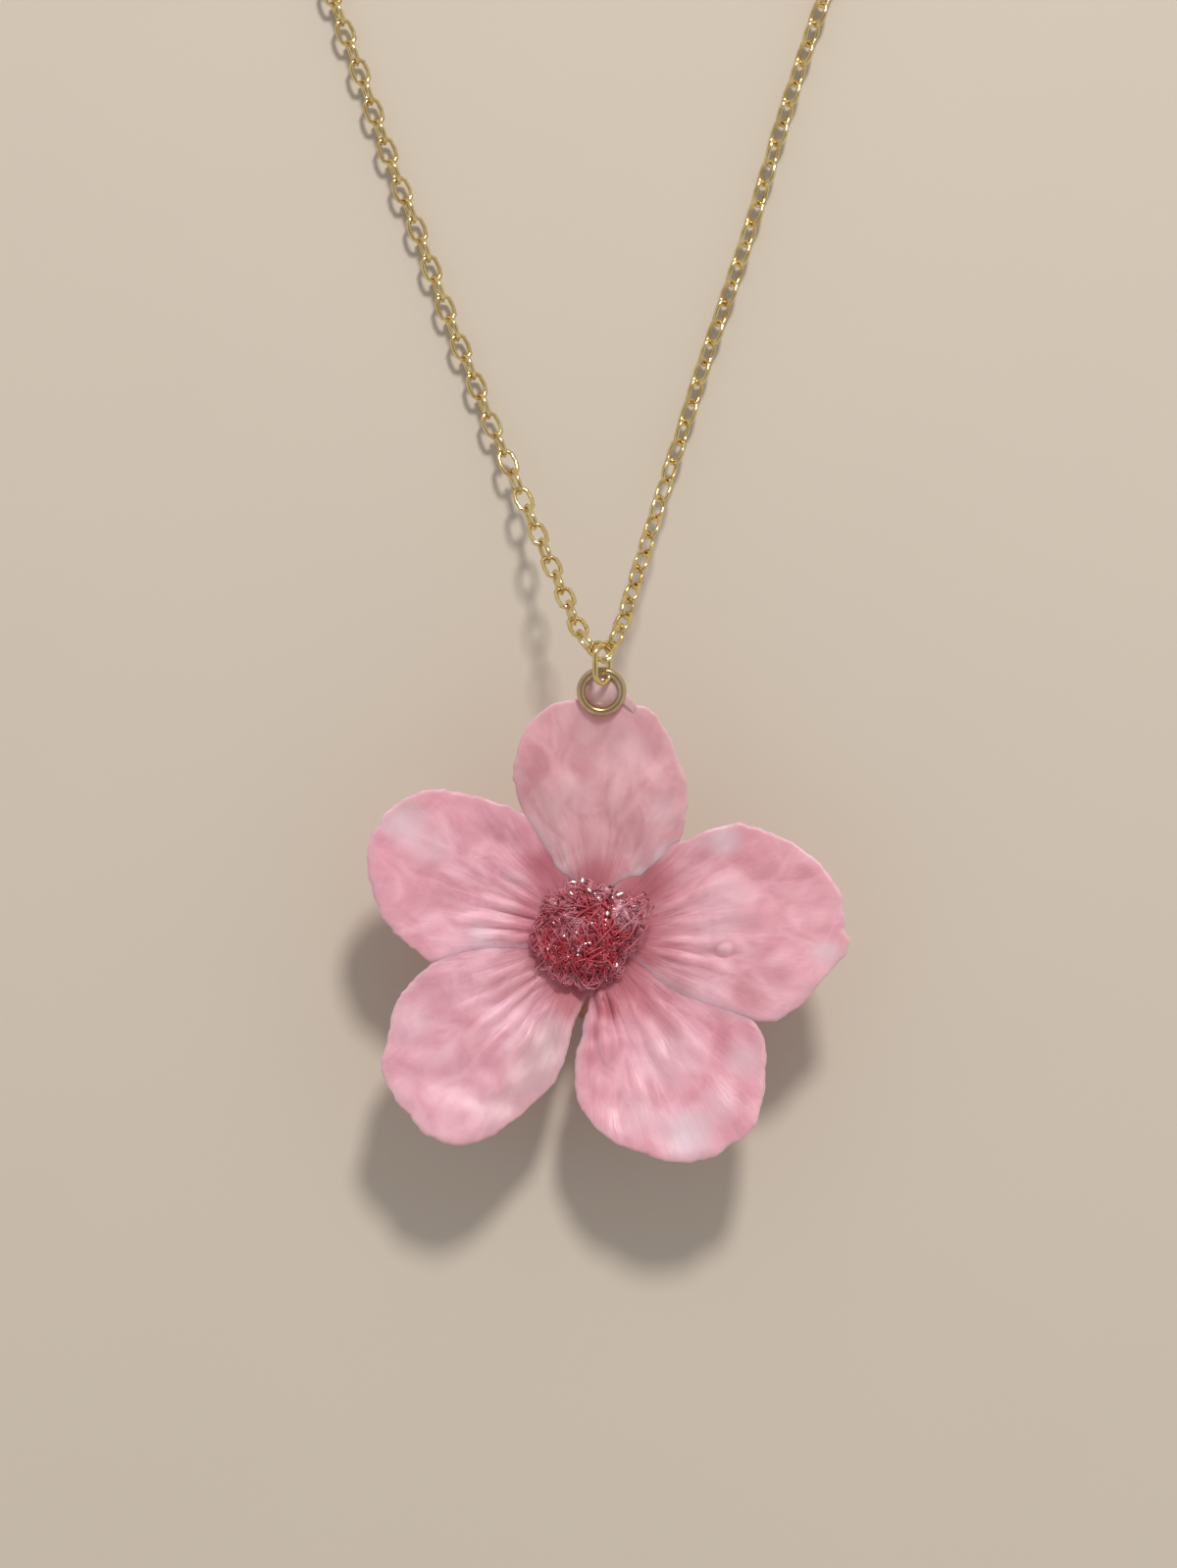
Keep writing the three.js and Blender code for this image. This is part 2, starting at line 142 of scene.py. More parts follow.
# Beads of coat on the knot, each x, y, half width, half height and turn in degrees.
BEADS = [
    (-1.35, 3.68, 0.24, 0.11, 5), (-0.75, 3.78, 0.15, 0.24, 0), (-0.28, 3.12, 0.22, 0.12, -35),
    (0.1, 2.86, 0.15, 0.13, -30), (0.36, 2.6, 0.12, 0.16, 20), (0.95, 1.95, 0.15, 0.12, 0),
    (0.96, 1.55, 0.15, 0.22, 0), (0.85, 1.1, 0.1, 0.12, 0), (1.82, 2.85, 0.32, 0.13, 38),
    (1.35, 2.6, 0.13, 0.13, 0), (3.05, 1.95, 0.1, 0.26, 25), (0.4, 1.2, 0.08, 0.14, 30),
    (-1.9, 1.4, 0.08, 0.14, 30), (-1.0, -0.95, 0.17, 0.1, 75), (-0.82, -0.68, 0.17, 0.1, 48),
    (-0.55, -0.52, 0.2, 0.09, 18), (-0.26, -0.46, 0.14, 0.08, 5), (-1.06, -1.3, 0.1, 0.1, 0),
    (-2.7, 0.9, 0.08, 0.13, 40), (-2.0, 0.0, 0.08, 0.13, 60), (0.2, -2.0, 0.08, 0.13, 0),
    (-1.5, 2.9, 0.1, 0.18, 60), (-3.1, -0.9, 0.08, 0.12, 0), (-0.1, 0.9, 0.08, 0.12, 80),
    (1.6, -2.0, 0.1, 0.2, 10), (-2.9, -2.2, 0.12, 0.07, -30),
]
BEAD_LIFT = 0.2
BEAD_FLATNESS = 0.16
FILM_RADIUS = 1.3
FILM_THICKNESS = 0.14
WEB_CENTRE = (2.1, 16.1, 8.72)

KEY_DIRECTION = Vector((2.0, 8.6, 8.6))
KEY_DISTANCE = 0.62
KEY_DIAMETER = 0.1
CAMERA_PLACE = (-0.333, 10.37, 358)
CAMERA_LENS = 118.2
FLOOR_HALF_SIZE = 1.5
FLOOR_DROP = 0.0001

PETAL_PINK = (0.74, 0.37, 0.43)
# Each petal's own pink, its deep colour and how smooth and unveined it looks.
PETAL_LOOKS = {
    "petal_top": ((0.67, 0.40, 0.43), (0.46, 0.13, 0.16), 0.6),
    "petal_left": ((0.74, 0.41, 0.48), (0.48, 0.12, 0.16), 0.0),
    "petal_lower_left": ((0.72, 0.41, 0.48), (0.46, 0.12, 0.15), 0.1),
    "petal_lower_right": ((0.70, 0.36, 0.43), (0.44, 0.10, 0.13), 0.1),
    "petal_right": ((0.74, 0.42, 0.48), (0.44, 0.11, 0.14), 0.1),
}

# outline and centre: points round the rim and a place well inside it. axis: its bearing.
# length, base, lift and bow: the tip's reach, the claw's height, the rise to the tip and how late
# the rise comes. cup and tilt: how far both sides rise, and one side against the other.
# under: the neighbour that lies on it. pale: lighter patches, partly the petal's own whitish
# patches and partly painted highlights and sheen. shade: patches of painted shade, deeper colour
# where a neighbour overlaps, in creases and beside the knot. dull: patches of painted shade in
# grey, where the petal turns away from the light. Each patch is x, y, radius and strength.
# marks: oval wrinkles, each x, y, half width, half height and depth; their rings are painted
# darker as shade.
# folds: ridges that run out from the claw, each bearing, width in degrees, first and last radius
# and height.
PETALS = {
    "petal_top": {
        "axis": 88, "length": 16.8, "base": 5.25, "lift": 3.5, "bow": 1.3, "cup": 0.55, "tilt": 0,
        "centre": (0.5, 10),
        "outline": [
            (0.8, 2.1), (1.3, 3.2), (2.4, 3.75), (3.6, 4.1), (4.8, 5.1), (5.8, 6.5), (6.35, 8.2),
            (6.4, 10.0), (5.9, 11.8), (5.2, 13.5), (4.6, 14.6), (3.6, 15.5), (3.0, 15.8),
            (2.4, 16.4), (1.95, 16.45), (1.65, 15.85), (1.2, 15.4), (0.55, 15.2), (-0.1, 15.35),
            (-0.55, 15.75), (-0.9, 16.1), (-1.6, 16.1), (-2.4, 15.95), (-3.2, 15.6),
            (-4.35, 14.4), (-5.1, 12.9), (-5.4, 11.6), (-5.4, 10.4), (-5.0, 8.9),
            (-4.4, 7.8), (-3.7, 6.5), (-3.0, 5.4), (-2.6, 4.5), (-1.8, 3.8), (-1.0, 3.1),
            (-0.5, 2.1),
        ],
        "pale": [
            (2.6, 12.6, 1.5, 0.25), (4.6, 8.6, 1.2, 0.35), (-1.7, 9.6, 1.6, 0.15),
            # The three small patches along the lower edge are painted highlights on its scallops.
            (-2.3, 4.25, 0.5, 0.6), (3.3, 4.15, 0.7, 0.8), (2.0, 3.95, 0.5, 0.6),
            (4.7, 5.6, 0.6, 0.4),
        ],
        "shade": [(0.3, 4.0, 1.5, 0.75), (0.6, 6.4, 2.4, 0.2), (-3.6, 11.8, 1.4, 0.2)],
        # Greyish painted shade where this petal faces away from the light.
        "painted_grey_shade": [(-3.4, 8.2, 1.8, 0.3), (0.3, 14.3, 2.2, 0.35)],
        "folds": [(65, 5, 6.0, 15.0, 0.12), (105, 7, 7.0, 15.0, 0.1)],
    },
    "petal_left": {
        "under": "petal_top",
        "axis": 163, "length": 16.2, "base": 4.9, "lift": 3.3, "bow": 1.3, "cup": 0.35,
        "tilt": 0.12, "centre": (-8.5, 4.2),
        "outline": [
            (-0.9, 1.6), (-0.6, 3.2), (-1.2, 5.2), (-2.6, 7.0), (-4.4, 8.2), (-6.0, 8.9),
            (-7.8, 9.5), (-9.4, 9.9), (-10.9, 10.0), (-12.4, 9.6), (-13.7, 8.7), (-14.8, 7.4),
            (-15.35, 5.8), (-15.3, 4.2), (-14.9, 2.5), (-14.2, 1.1), (-13.2, -0.1),
            (-12.1, -1.0), (-11.0, -1.75), (-9.6, -1.5), (-7.8, -1.15), (-5.9, -1.1),
            (-4.4, -1.0), (-3.0, -0.8), (-1.6, -0.5),
        ],
        "pale": [
            # The first patch is a painted sheen highlight near the upper outer edge.
            (-12.9, 7.9, 1.6, 0.9), (-11.0, 6.3, 1.5, 0.4), (-7.8, 0.1, 1.0, 0.45),
            (-6.0, 1.6, 0.8, 0.35), (-5.2, 3.8, 0.8, 0.3),
        ],
        "shade": [
            (-3.2, 5.0, 1.7, 0.9), (-4.4, 7.0, 1.0, 0.4), (-4.3, 1.9, 0.9, 0.35),
            (-4.9, -0.3, 0.9, 0.3),
        ],
        "folds": [
            (172, 3.0, 3.5, 11.0, 0.3), (161, 2.2, 3.5, 9.5, 0.28), (151, 2.6, 4.0, 9.0, 0.22),
            (181, 2.4, 3.5, 9.0, 0.22), (141, 3.0, 5.0, 11.0, 0.18),
        ],
    },
    "petal_lower_left": {
        "under": "petal_left",
        "axis": 228, "length": 18.3, "base": 4.6, "lift": 3.5, "bow": 1.3, "cup": 0.9,
        "tilt": 0.12, "centre": (-7.6, -7.2),
        "outline": [
            (-1.2, -0.6), (-2.6, -0.3), (-4.6, 0.0), (-6.5, 0.1), (-8.6, -0.3), (-10.0, -0.9),
            (-11.2, -2.0), (-12.2, -3.0), (-13.1, -4.0), (-13.7, -5.2), (-14.0, -6.8),
            (-14.35, -8.3), (-14.2, -9.8), (-13.4, -11.1), (-12.5, -12.2), (-11.7, -13.2),
            (-10.5, -13.9), (-8.9, -14.25), (-7.2, -13.7), (-5.5, -12.6), (-4.0, -11.4),
            (-2.8, -10.2), (-2.1, -8.9), (-1.65, -7.6), (-1.35, -6.2), (-0.75, -4.8),
            (-0.1, -3.6), (0.1, -2.1),
        ],
        "pale": [
            (-2.8, -6.5, 1.4, 0.2), (-12.6, -6.0, 1.6, 0.35),
            (-7.0, -12.0, 1.6, 0.3),
        ],
        "shade": [
            (-8.4, -5.6, 1.0, 0.35), (-6.6, -3.6, 0.9, 0.35), (-4.0, -1.4, 1.0, 0.35),
            (-4.6, -3.6, 1.6, 0.25), (-8.0, -7.4, 1.6, 0.2), (-1.3, -4.5, 1.7, 1.0),
            (-4.9, -0.4, 0.9, 0.35),
        ],
        # Greyish painted shade where this petal turns away from the light.
        "painted_grey_shade": [(-3.4, -8.9, 2.6, 0.75), (-5.4, -11.4, 1.8, 0.4), (-2.6, -6.4, 1.3, 0.35)],
        "folds": [
            (219, 2.2, 4.0, 12.5, 0.3), (227, 2.0, 4.5, 12.0, 0.26), (211, 2.2, 4.0, 11.0, 0.24),
            (203, 2.6, 4.0, 11.0, 0.18), (237, 2.6, 5.0, 13.0, 0.16),
        ],
    },
    "petal_lower_right": {
        "under": "petal_right",
        "axis": 296, "length": 16.6, "base": 4.6, "lift": 3.5, "bow": 1.3, "cup": 0.45,
        "tilt": -0.12, "centre": (5.2, -8.8),
        "outline": [
            (0.1, -2.0), (-0.2, -3.4), (-0.35, -4.8), (-0.7, -6.3), (-1.05, -7.6), (-1.3, -9.2),
            (-1.15, -10.8), (-0.6, -12.1), (0.4, -13.3), (1.7, -14.1), (3.3, -14.8),
            (4.9, -15.2), (6.3, -15.35), (7.8, -15.05), (8.7, -14.8), (9.3, -14.1),
            (10.3, -13.6), (11.0, -12.8), (11.5, -11.2), (11.75, -9.4), (11.7, -7.6),
            (11.2, -6.1), (10.2, -4.9), (8.4, -3.6), (6.3, -2.6), (4.7, -1.9), (3.3, -1.3),
            (2.2, -0.9), (1.0, -0.9),
        ],
        "pale": [
            (6.5, -13.6, 2.0, 0.95), (10.4, -8.5, 1.5, 0.55), (3.2, -12.4, 1.8, 0.4),
            (8.6, -11.5, 1.4, 0.4), (9.5, -4.9, 0.9, 0.35), (5.2, -8.4, 2.4, 0.35),
        ],
        "shade": [
            (0.9, -5.0, 0.8, 0.9), (0.1, -6.6, 0.7, 0.7), (-0.3, -8.2, 0.6, 0.5),
            (2.6, -4.2, 1.6, 0.55), (4.6, -5.4, 1.8, 0.25),
        ],
        "folds": [
            (276, 2.6, 3.0, 10.5, 0.55), (283, 2.2, 3.5, 9.0, -0.3), (300, 3.0, 5.0, 13.0, 0.2),
            (312, 3.2, 5.0, 13.0, 0.16),
        ],
    },
    "petal_right": {
        "under": "petal_top",
        "axis": 2, "length": 17.5, "base": 4.9, "lift": 3.3, "bow": 1.3, "cup": 0.35,
        "tilt": -0.12, "centre": (9.5, 1.0),
        "outline": [
            (2.0, -0.7), (2.7, -1.6), (3.8, -2.7), (5.3, -3.8), (7.4, -4.8), (9.5, -5.4),
            (11.3, -5.8), (12.4, -5.75), (13.4, -5.2), (14.5, -4.3), (15.4, -3.2), (16.4, -2.0),
            (17.2, -1.1), (17.4, -0.3), (17.1, 0.6), (17.05, 1.6), (16.8, 2.9), (16.1, 4.2),
            (15.0, 5.4), (13.6, 6.4), (12.0, 7.1), (10.0, 7.7), (8.3, 7.4), (7.2, 7.0),
            (6.4, 6.6), (5.2, 6.6), (4.0, 6.2), (2.6, 5.2), (1.4, 3.6), (0.9, 1.6), (1.2, 0.2),
        ],
        "pale": [
            (8.9, 6.6, 1.3, 0.85), (15.9, -1.2, 1.2, 0.7), (9.0, 1.8, 2.2, 0.3),
            (3.1, 0.7, 0.5, 0.6), (8.2, -0.4, 1.2, 0.3),
        ],
        "shade": [
            (4.0, 3.9, 1.9, 0.9), (10.4, -4.2, 1.5, 0.3), (6.0, -3.6, 1.1, 0.35),
            (3.4, -1.8, 1.1, 0.4),
        ],
        "marks": [(9.0, -0.95, 0.85, 0.45, -0.1)],
        "folds": [
            (-4, 2.6, 4.0, 13.0, 0.2), (8, 3.0, 5.0, 14.0, 0.18), (-14, 2.6, 4.0, 12.0, 0.2),
            (22, 3.0, 5.0, 14.0, 0.16),
        ],
    },
}

STAMEN_NODES = [f"stamen_{index:02d}" for index in range(1, 25)]


def place(x, y, z):
    """A point given in millimetres from the flower's axis, in metres in the frame."""
    return Vector((AXIS_X + x * MM, AXIS_Y + y * MM, z * MM))


def smoothstep(value, low, high):
    """0 below low, 1 above high and a smooth rise between them."""
    share = min(1.0, max(0.0, (value - low) / (high - low)))
    return share * share * (3 - 2 * share)


# ---- Settings ----


class PetalSettings(bpy.types.PropertyGroup):
    """What a user may change on the petals."""

    cells: bpy.props.IntProperty(
        name="Cells", description="Grid cells each way across a petal", default=80, min=16, max=90
    )
    thickness: bpy.props.FloatProperty(
        name="Thickness", description="Petal with its clear coat", default=0.4 * MM,
        unit="LENGTH", subtype="DISTANCE",
    )
    ripple: bpy.props.FloatProperty(
        name="Ripple", description="Height of the fine folds", default=0.09 * MM,
        unit="LENGTH", subtype="DISTANCE",
    )
    colour: bpy.props.FloatVectorProperty(
        name="Colour", description="Petal pink", subtype="COLOR", size=3,
        default=PETAL_PINK, min=0, max=1,
    )


class StamenSettings(bpy.types.PropertyGroup):
    """What a user may change on the knot of stamens."""

    count: bpy.props.IntProperty(
        name="Filaments", description="How many filaments lie matted", default=420, min=20
    )
    radius: bpy.props.FloatProperty(
        name="Radius", description="Radius of a filament at its foot", default=0.052 * MM,
        unit="LENGTH", subtype="DISTANCE", precision=5,
    )
    colour: bpy.props.FloatVectorProperty(
        name="Colour", description="Stamen crimson", subtype="COLOR", size=3,
        default=(0.55, 0.04, 0.065), min=0, max=1,
    )


class MetalSettings(bpy.types.PropertyGroup):
    """What a user may change on the gold pieces."""

    gold: bpy.props.FloatVectorProperty(
        name="Gold", description="Colour of the metal", subtype="COLOR", size=3,
        default=(0.86, 0.71, 0.33), min=0, max=1,
    )
    pitch: bpy.props.FloatProperty(
        name="Link pitch", description="Distance from one link to the next", default=1.45 * MM,
        unit="LENGTH", subtype="DISTANCE", precision=5,
    )


class StageSettings(bpy.types.PropertyGroup):
    """What a user may change on the floor and the lights."""

    floor: bpy.props.FloatVectorProperty(
        name="Floor", description="Colour of the floor", subtype="COLOR", size=3,
        default=(0.63, 0.555, 0.465), min=0, max=1,
    )
    key_power: bpy.props.FloatProperty(
        name="Key light", description="Power of the main light", default=2.55, min=0, unit="POWER"
    )
    world_strength: bpy.props.FloatProperty(
        name="World", description="Strength of the even light", default=0.58, min=0
    )


# ---- Node and mesh helpers ----


def add_node(tree, kind, values=None, **settings):
    """A new shader node with its settings and the values of its sockets."""
    made = tree.nodes.new("ShaderNode" + kind)
    for key, value in settings.items():
        setattr(made, key, value)
    for key, value in (values or {}).items():
        made.inputs[key].default_value = value
    return made


def colour4(colour):
    """A colour with full alpha."""
    return (*colour[:3], 1.0)


def mixed(tree, factor, first, second, blend="MIX"):
    """A colour socket that goes from first to second. Either may be a socket or a colour."""
    mix = add_node(tree, "Mix", data_type="RGBA", blend_type=blend)
    for socket, value in ((mix.inputs[0], factor), (mix.inputs[6], first), (mix.inputs[7], second)):
        if isinstance(value, bpy.types.NodeSocket):
            tree.links.new(value, socket)
        else:
            socket.default_value = value
    return mix.outputs[2]


def computed(tree, operation, first, second=0.0):
    """A number socket worked out from one or two sockets or numbers."""
    math_node = add_node(tree, "Math", operation=operation)
    for socket, value in zip(math_node.inputs, (first, second)):
        if isinstance(value, bpy.types.NodeSocket):
            tree.links.new(value, socket)
        else:
            socket.default_value = value
    return math_node.outputs[0]


def ranged(tree, value, low, high, new_low=0.0, new_high=1.0):
    """A number socket mapped from one range to another, smoothly and within its ends."""
    mapping = add_node(tree, "MapRange", interpolation_type="SMOOTHSTEP")
    tree.links.new(value, mapping.inputs["Value"])
    for name, number in (
        ("From Min", low), ("From Max", high), ("To Min", new_low), ("To Max", new_high),
    ):
        mapping.inputs[name].default_value = number
    return mapping.outputs[0]


def patterned(tree, coordinates, scale, detail=4.0, roughness=0.55, distortion=0.0, stretch=None):
    """The grey value of a noise, on stretched coordinates if stretch is given."""
    source = coordinates
    if stretch is not None:
        mapping = add_node(tree, "Mapping", {"Scale": stretch})
        tree.links.new(coordinates, mapping.inputs["Vector"])
        source = mapping.outputs[0]
    cloud = add_node(tree, "TexNoise", {
        "Scale": scale, "Detail": detail, "Roughness": roughness, "Distortion": distortion,
    })
    tree.links.new(source, cloud.inputs["Vector"])
    return cloud.outputs["Fac"]


def bumped(tree, height, distance, strength):
    """A normal socket that a height pattern raises by a distance in metres."""
    bump = add_node(tree, "Bump", {"Distance": distance, "Strength": strength})
    tree.links.new(height, bump.inputs["Height"])
    return bump.outputs[0]


def new_material(name, **shader):
    """A material with a Principled shader that has the given socket values, and its nodes."""
    made = bpy.data.materials.new(name)
    made.use_nodes = True
    principled = made.node_tree.nodes["Principled BSDF"]
    for key, value in shader.items():
        principled.inputs[key.replace("_", " ")].default_value = value
    return made, made.node_tree


def coordinates_of(tree):
    """A socket with places on the piece itself."""
    return add_node(tree, "TexCoord").outputs["Object"]


def attribute_of(tree, name):
    """A socket with the value that the mesh's own layer of that name holds."""
    return add_node(tree, "Attribute", attribute_name=name).outputs["Fac"]


def finished(made, colour, roughness=None, normal=None):
    """Joins the given sockets to the material's shader, and returns the material."""
    shader = made.node_tree.nodes["Principled BSDF"]
    joined = (("Base Color", colour), ("Roughness", roughness), ("Normal", normal))
    for name, socket in joined:
        if socket is not None:
            made.node_tree.links.new(socket, shader.inputs[name])
    return made


def new_object(name, mesh, material, smooth=True):
    """Puts a finished mesh in the scene as a piece of the object's one body."""
    piece = bpy.data.objects.new(name, mesh)
    bpy.context.scene.collection.objects.link(piece)
    mesh.materials.clear()
    mesh.materials.append(material)
    if smooth:
        mesh.shade_smooth()
    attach(piece, "root")
    return piece


def mesh_from(bm, name, recalculate=True):
    """Turns a bmesh into a mesh with its normals outwards, and frees it."""
    if recalculate:
        bmesh.ops.recalc_face_normals(bm, faces=bm.faces)
    mesh = bpy.data.meshes.new(name)
    bm.to_mesh(mesh)
    bm.free()
    return mesh


def swept_mesh(name, strands, sides):
    """A mesh of round tubes. Each strand is a list of points with a radius each."""
    curve = bpy.data.curves.new(name, "CURVE")
    curve.dimensions = "3D"
    curve.bevel_depth = 1.0
    curve.bevel_resolution = max(0, sides // 2 - 2)
    curve.use_fill_caps = True
    for strand in strands:
        spline = curve.splines.new("POLY")
        spline.points.add(len(strand) - 1)
        for point, (position, radius) in zip(spline.points, strand):
            point.co = (*position, 1.0)
            point.radius = radius
    holder = bpy.data.objects.new(name, curve)
    mesh = bpy.data.meshes.new_from_object(holder)
    bpy.data.objects.remove(holder)
    bpy.data.curves.remove(curve)
    mesh.name = name
    bm = bmesh.new()
    bm.from_mesh(mesh)
    bmesh.ops.remove_doubles(bm, verts=bm.verts, dist=1e-7)
    bmesh.ops.recalc_face_normals(bm, faces=bm.faces)
    bm.to_mesh(mesh)
    bm.free()
    return mesh


def smooth_path(points, steps, closed=False):
    """Points on a centripetal curve through the given points, steps to each stretch."""
    count = len(points)
    path = []
    stretches = count if closed else count - 1
    for index in range(stretches):
        around = []
        for offset in (-1, 0, 1, 2):
            at = index + offset
            if closed:
                around.append(points[at % count])
            elif at < 0:
                around.append(points[0] * 2 - points[1])
            elif at >= count:
                around.append(points[-1] * 2 - points[-2])
            else:
                around.append(points[at])
        knots = [0.0]
        for first, second in zip(around, around[1:]):
            knots.append(knots[-1] + max(1e-9, math.sqrt((second - first).length)))
        for step in range(steps):
            time = knots[1] + (knots[2] - knots[1]) * step / steps
            level = around
            for spans in (((0, 1), (1, 2), (2, 3)), ((0, 2), (1, 3)), ((1, 2),)):
                blended = []
                for i, (low, high) in enumerate(spans):
                    share = (time - knots[low]) / (knots[high] - knots[low])
                    blended.append(level[i] * (1 - share) + level[i + 1] * share)
                level = blended
            path.append(level[0])
    if not closed:
        path.append(points[-1].copy())
    return path


def evenly(path, count, closed=False):
    """Count points at even distances along a path."""
    line = path + [path[0]] if closed else path
    reached = [0.0]
    for first, second in zip(line, line[1:]):
        reached.append(reached[-1] + (second - first).length)
    gaps = count if closed else count - 1
    spread = []
    segment = 0
    for index in range(count):
        target = reached[-1] * index / gaps
        while segment < len(line) - 2 and reached[segment + 1] < target:
            segment += 1
        share = (target - reached[segment]) / max(1e-12, reached[segment + 1] - reached[segment])
        spread.append(line[segment].lerp(line[segment + 1], share))
    return spread


# ---- Materials ----


def petal_material(name, colour, deep, smooth_share):
    """Satin, slightly see-through petal under a clear coat, veined outwards from the claw, with
    painted highlights and painted shade in its streaks and patches.
    """
    made, tree = new_material(
        name, Roughness=0.45, Subsurface_Weight=0.6, Subsurface_Scale=1.1 * MM, Coat_Weight=0.1,
        Coat_Roughness=0.35, Coat_IOR=1.45, Sheen_Weight=0.1, Sheen_Roughness=0.5,
        Specular_IOR_Level=0.35, Subsurface_Radius=(1.0, 0.45, 0.4),
    )
    uv = add_node(tree, "UVMap", uv_map="Fan").outputs[0]
    parts = add_node(tree, "SeparateXYZ")
    tree.links.new(uv, parts.inputs[0])
    reach = parts.outputs["Y"]
    coordinates = coordinates_of(tree)
    pale = attribute_of(tree, "pale")
    shade = attribute_of(tree, "shade")
    painted_grey_shade = attribute_of(tree, "painted_grey_shade")
    rim = attribute_of(tree, "rim")

    broad = patterned(tree, uv, 1.0, 3.0, 0.5, 1.3, (5.5, 3.0, 1.0))
    veins = patterned(tree, uv, 1.0, 5.0, 0.62, 1.2, (26.0, 3.2, 1.0))
    blotches = patterned(tree, coordinates, 230.0, 6.0, 0.6, 1.0)
    streaky = ranged(tree, reach, 1.15, 0.75, 0.3 * (1 - smooth_share), 1 - smooth_share)

    light = tuple(min(1.0, part * 1.22 + 0.05) for part in colour)
    dark = (colour[0] * 0.86, colour[1] * 0.68, colour[2] * 0.74)
    middle = ranged(tree, broad, 0.25, 0.78, 0.2, 0.85)
    body = mixed(tree, middle, colour4(dark), colour4(light))
    # Lighter streaks paint highlights on the ridges of the fine folds and darker streaks paint
    # shade in their grooves, on top of the veins' own tone; the same veins raise the bump.
    vein_and_ridge_highlight = computed(tree, "MULTIPLY", ranged(tree, veins, 0.46, 0.68, 0.0, 0.32), streaky)
    body = mixed(tree, vein_and_ridge_highlight, body, colour4(light))
    vein_and_groove_shade = computed(tree, "MULTIPLY", ranged(tree, veins, 0.5, 0.34, 0.0, 0.3), streaky)
    body = mixed(tree, vein_and_groove_shade, body, colour4(dark))
    body = mixed(tree, ranged(tree, blotches, 0.46, 0.72, 0.0, 0.6), body, colour4(light))
    body = mixed(tree, ranged(tree, blotches, 0.52, 0.28, 0.0, 0.42), body, colour4(dark))
    # Pale patches: partly the petal's own whitish patches, partly painted highlights and sheen.
    body = mixed(tree, computed(tree, "MULTIPLY", pale, 0.85), body, (0.83, 0.66, 0.72, 1.0))
    # Painted shade: deeper colour where neighbours overlap, in creases, beside the knot and in the
    # wrinkle rings.
    body = mixed(tree, computed(tree, "MULTIPLY", shade, 0.8), body, colour4(deep))
    # Greyish painted shade where the petal turns away from the light.
    body = mixed(tree, painted_grey_shade, body, (0.5, 0.345, 0.36, 1.0))
    inward = computed(tree, "ADD", reach, computed(tree, "MULTIPLY", veins, 0.4))
    body = mixed(tree, ranged(tree, inward, 1.0 - 0.3 * smooth_share, 0.4), body, colour4(deep))
    body = mixed(tree, ranged(tree, rim, 0.8, 0.1, 0.0, 0.4), body, (0.68, 0.43, 0.47, 1.0))

    gloss = ranged(tree, blotches, 0.35, 0.7, 0.3, 0.52)
    relief = computed(tree, "ADD", veins, computed(tree, "MULTIPLY", blotches, 0.8))
    return finished(made, body, gloss, bumped(tree, relief, 0.1 * MM, 0.35))


def stamen_material(colour):
    """Wet, glossy filaments that run from pink tips to crimson feet."""
    made, tree = new_material(
        "Wet stamens", Roughness=0.3, Coat_Weight=0.45, Coat_Roughness=0.07, Coat_IOR=1.5,
        Specular_IOR_Level=0.3, Subsurface_Weight=0.15, Subsurface_Scale=0.25 * MM,
    )
    coordinates = coordinates_of(tree)
    tone = attribute_of(tree, "tone")
    cloud = patterned(tree, coordinates, 1100.0, 3.0)
    body = mixed(tree, tone, colour4(colour), (0.62, 0.24, 0.3, 1.0))
    body = mixed(tree, ranged(tree, cloud, 0.45, 0.72, 0.0, 0.5), body,
                 (0.22, 0.012, 0.025, 1.0))
    gloss = ranged(tree, cloud, 0.3, 0.7, 0.2, 0.42)
    return finished(made, body, gloss, bumped(tree, cloud, 0.03 * MM, 0.6))


def anther_material():
    """Near black, wine red tips that have soaked up the coat."""
    made, tree = new_material(
        "Dark tips", Roughness=0.25, Coat_Weight=0.7, Coat_Roughness=0.1,
    )
    coordinates = coordinates_of(tree)
    cloud = patterned(tree, coordinates, 1800.0, 3.0)
    body = mixed(tree, ranged(tree, cloud, 0.35, 0.65), (0.09, 0.008, 0.014, 1.0),
                 (0.24, 0.03, 0.04, 1.0))
    return finished(made, body, normal=bumped(tree, cloud, 0.05 * MM, 0.6))


def core_material():
    """Wet dark red mass where the filaments have run together."""
    made, tree = new_material(
        "Matted core", Roughness=0.3, Coat_Weight=0.5, Coat_Roughness=0.06, Coat_IOR=1.5,
        Specular_IOR_Level=0.3,
    )
    coordinates = coordinates_of(tree)
    cloud = patterned(tree, coordinates, 1300.0, 4.0, 0.6, 1.2)
    tone = attribute_of(tree, "tone")
    body = mixed(tree, ranged(tree, cloud, 0.35, 0.62), (0.26, 0.015, 0.028, 1.0),
                 (0.56, 0.06, 0.085, 1.0))
    pink = mixed(tree, ranged(tree, cloud, 0.35, 0.62), (0.56, 0.13, 0.17, 1.0),
                 (0.7, 0.32, 0.38, 1.0))
    body = mixed(tree, ranged(tree, tone, 0.0, 0.8), body, pink)
    body = mixed(tree, ranged(tree, tone, 0.9, 1.3), body, (0.76, 0.45, 0.52, 1.0))
    return finished(made, body, normal=bumped(tree, cloud, 0.15 * MM, 0.7))


